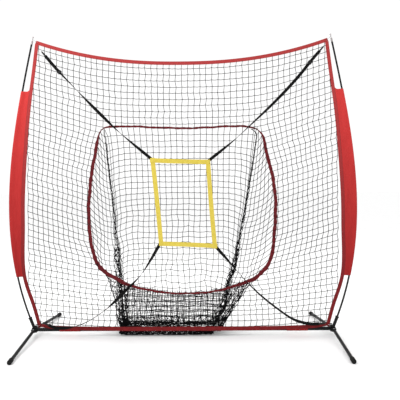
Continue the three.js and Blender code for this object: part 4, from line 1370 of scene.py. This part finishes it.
def leg(side_name, side, end_name, end):
    """A steel tube pressed flat into an eye where it turns on its rivet."""
    pivot, along, across, upright = leg_frame(side, end)
    far = (LEG_REACH - CAP_FLOOR) / math.cos(LEG_DROOP)
    stations = [*np.linspace(-0.0119, 0.0, 9), *np.linspace(0.004, 0.052, 16), 0.08, 0.2, 0.35, far]
    rings = []
    for s in stations:
        round_share = smooth_step(s, 0.014, 0.046)
        eye = math.sqrt(max(1e-7, EYE_RADIUS ** 2 - min(0, s) ** 2))
        wide = eye * (1 - round_share) + LEG_RADIUS * round_share
        tall = EYE_HALF * (1 - round_share) + LEG_RADIUS * round_share
        power = EYE_SQUARENESS * (1 - round_share) + round_share
        level = -along.z * s * (1 - smooth_step(s, 0.0, 0.05))
        centre = pivot + along * s + UP * level
        ring = []
        for a in np.linspace(0, 2 * math.pi, 40, endpoint=False):
            c, z = math.cos(a), math.sin(a)
            u = math.copysign(abs(c) ** power, c) * wide
            v = math.copysign(abs(z) ** power, z) * tall
            ring.append(centre + across * u + upright * v)
        rings.append(ring)
    name = f"{end_name}_{side_name}"
    body = f"{name}_leg"
    mesh = mesh_of(name, *loft(rings))
    mesh.set_sharp_from_angle(angle=SHARP_TURN)
    placed(f"leg_tube_{name}", mesh, "powder_coat", [f"leg_{name}"], body)
    base = pivot + along * (LEG_REACH / math.cos(LEG_DROOP) - CAP_LENGTH)
    foot_cap(name, base, along, body)


def foot_cap(name, base, along, body):
    """A rubber cap with a grooved rim and a rounded end, worn flat where it stands on the ground."""
    profile = [
        (0.0113, 0.0005), (0.0140, 0), (CAP_RADIUS, 0.0012), (CAP_RADIUS, 0.004), (0.0146, 0.0055),
        (0.0146, 0.008), (CAP_RADIUS, 0.0095),
    ]
    for turn in np.linspace(0, math.pi / 2, 9):
        radius = CAP_RADIUS - CAP_EDGE * (1 - math.cos(turn))
        profile.append((radius, CAP_LENGTH - CAP_EDGE * (1 - math.sin(turn))))
    profile.append((0.001, CAP_LENGTH))
    cap = lathe(f"rubber_foot_{name}", profile, base, along, "rubber", [f"foot_cap_{name}"], body)
    for vertex in cap.data.vertices:
        vertex.co.z = max(0.0, vertex.co.z)


for side_name, side in SIDES.items():
    for end_name, end in ENDS.items():
        leg(side_name, side, end_name, end)

# ---- Net hooks: a moulded snap hook on each strap's outer end, with its point through a mesh of the net ----

HOOK_RADIUS = 0.0058
HOOK_REACH = 0.040
HOOK_GAPE = 0.014


def net_hook(corner):
    end, before = Vector(STRAP_ROUTES[corner][-1]), Vector(STRAP_ROUTES[corner][-2])
    along = (end - before).normalized()
    shank = [(-0.007, 0), (0.004, 0), (0.016, 0), (0.028, 0.0005), (0.036, 0.003), (HOOK_REACH, 0.008)]
    shank += [(0.037, 0.013), (0.030, HOOK_GAPE), (0.022, HOOK_GAPE)]
    line = centripetal([end + along * a + BACKWARD * b for a, b in shank], 5)
    thickness = table([(0, 1.1), (0.3, 1.0), (0.6, 0.75), (1, 0.5)])
    rings = [(point, thickness(i / (len(line) - 1))) for i, point in enumerate(line)]
    name = f"snap_hook_{corner}"
    placed(name, cords_of(name, [rings], HOOK_RADIUS, 4), "black_plastic", [f"net_hook_{corner}"])


for corner in STRAP_ROUTES:
    net_hook(corner)

# ---- Brackets, bolts, rivets, rings and sliders ----

NODE_FINISHES = {
    "base_bracket": "powder_coat",
    "bar_bolt": "steel",
    "leg_rivet": "steel",
    "corner_ring": "steel",
    "strap_slider": "black_plastic",
}


def finish_cad_nodes():
    """Gives each CAD node that stays its material, softened edges and smooth shading."""
    for name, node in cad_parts.items():
        slot = next((slot for prefix, slot in NODE_FINISHES.items() if name.startswith(prefix)), None)
        if slot is None:
            continue
        node.data.materials.clear()
        node.data.materials.append(MATERIALS[slot].material)
        edge = node.modifiers.new("edges", "BEVEL")
        edge.width = 0.0008
        edge.segments = 3
        edge.limit_method = "ANGLE"
        edge.angle_limit = math.radians(40)
        edge.harden_normals = True


finish_cad_nodes()

# ---- Floor and light ----


FLOOR_RADIUS = 60.0
FLOOR_DEPTH = -0.0004


def floor():
    turns = np.linspace(0, 2 * math.pi, 96)[:-1]
    points = [(FLOOR_RADIUS * math.cos(a), FLOOR_RADIUS * math.sin(a), FLOOR_DEPTH) for a in turns]
    mesh = mesh_of("floor", points, [tuple(range(len(points)))])
    made = Finish("floor", 0.9)
    made.coloured(made.noise(3), (0.93, 0.93, 0.93), (0.96, 0.96, 0.96))
    mesh.materials.append(made.material)
    piece = bpy.data.objects.new("floor", mesh)
    bpy.context.scene.collection.objects.link(piece)


def area_light(name, place, target, size, power):
    data = bpy.data.lights.new(name, "AREA")
    data.shape = "DISK"
    data.size = size
    data.energy = power
    light = bpy.data.objects.new(name, data)
    light.location = place
    light.rotation_euler = (Vector(target) - Vector(place)).to_track_quat("-Z", "Y").to_euler()
    bpy.context.scene.collection.objects.link(light)


def studio():
    world = bpy.data.worlds.new("studio")
    world.use_nodes = True
    background = world.node_tree.nodes["Background"]
    background.inputs["Color"].default_value = (1, 1, 1, 1)
    background.inputs["Strength"].default_value = 1.05
    bpy.context.scene.world = world
    bpy.context.scene.view_settings.view_transform = "Standard"
    area_light("key", (-2.3, -1.7, 3.4), (-0.8, 0, 1.7), 1.2, 52)
    area_light("fill", (3.0, -3.2, 3.0), (0, 0, 1.0), 2.5, 10)
    area_light("top", (0, 1.5, 4.5), (0, 0, 0.5), 3.0, 40)


floor()
studio()
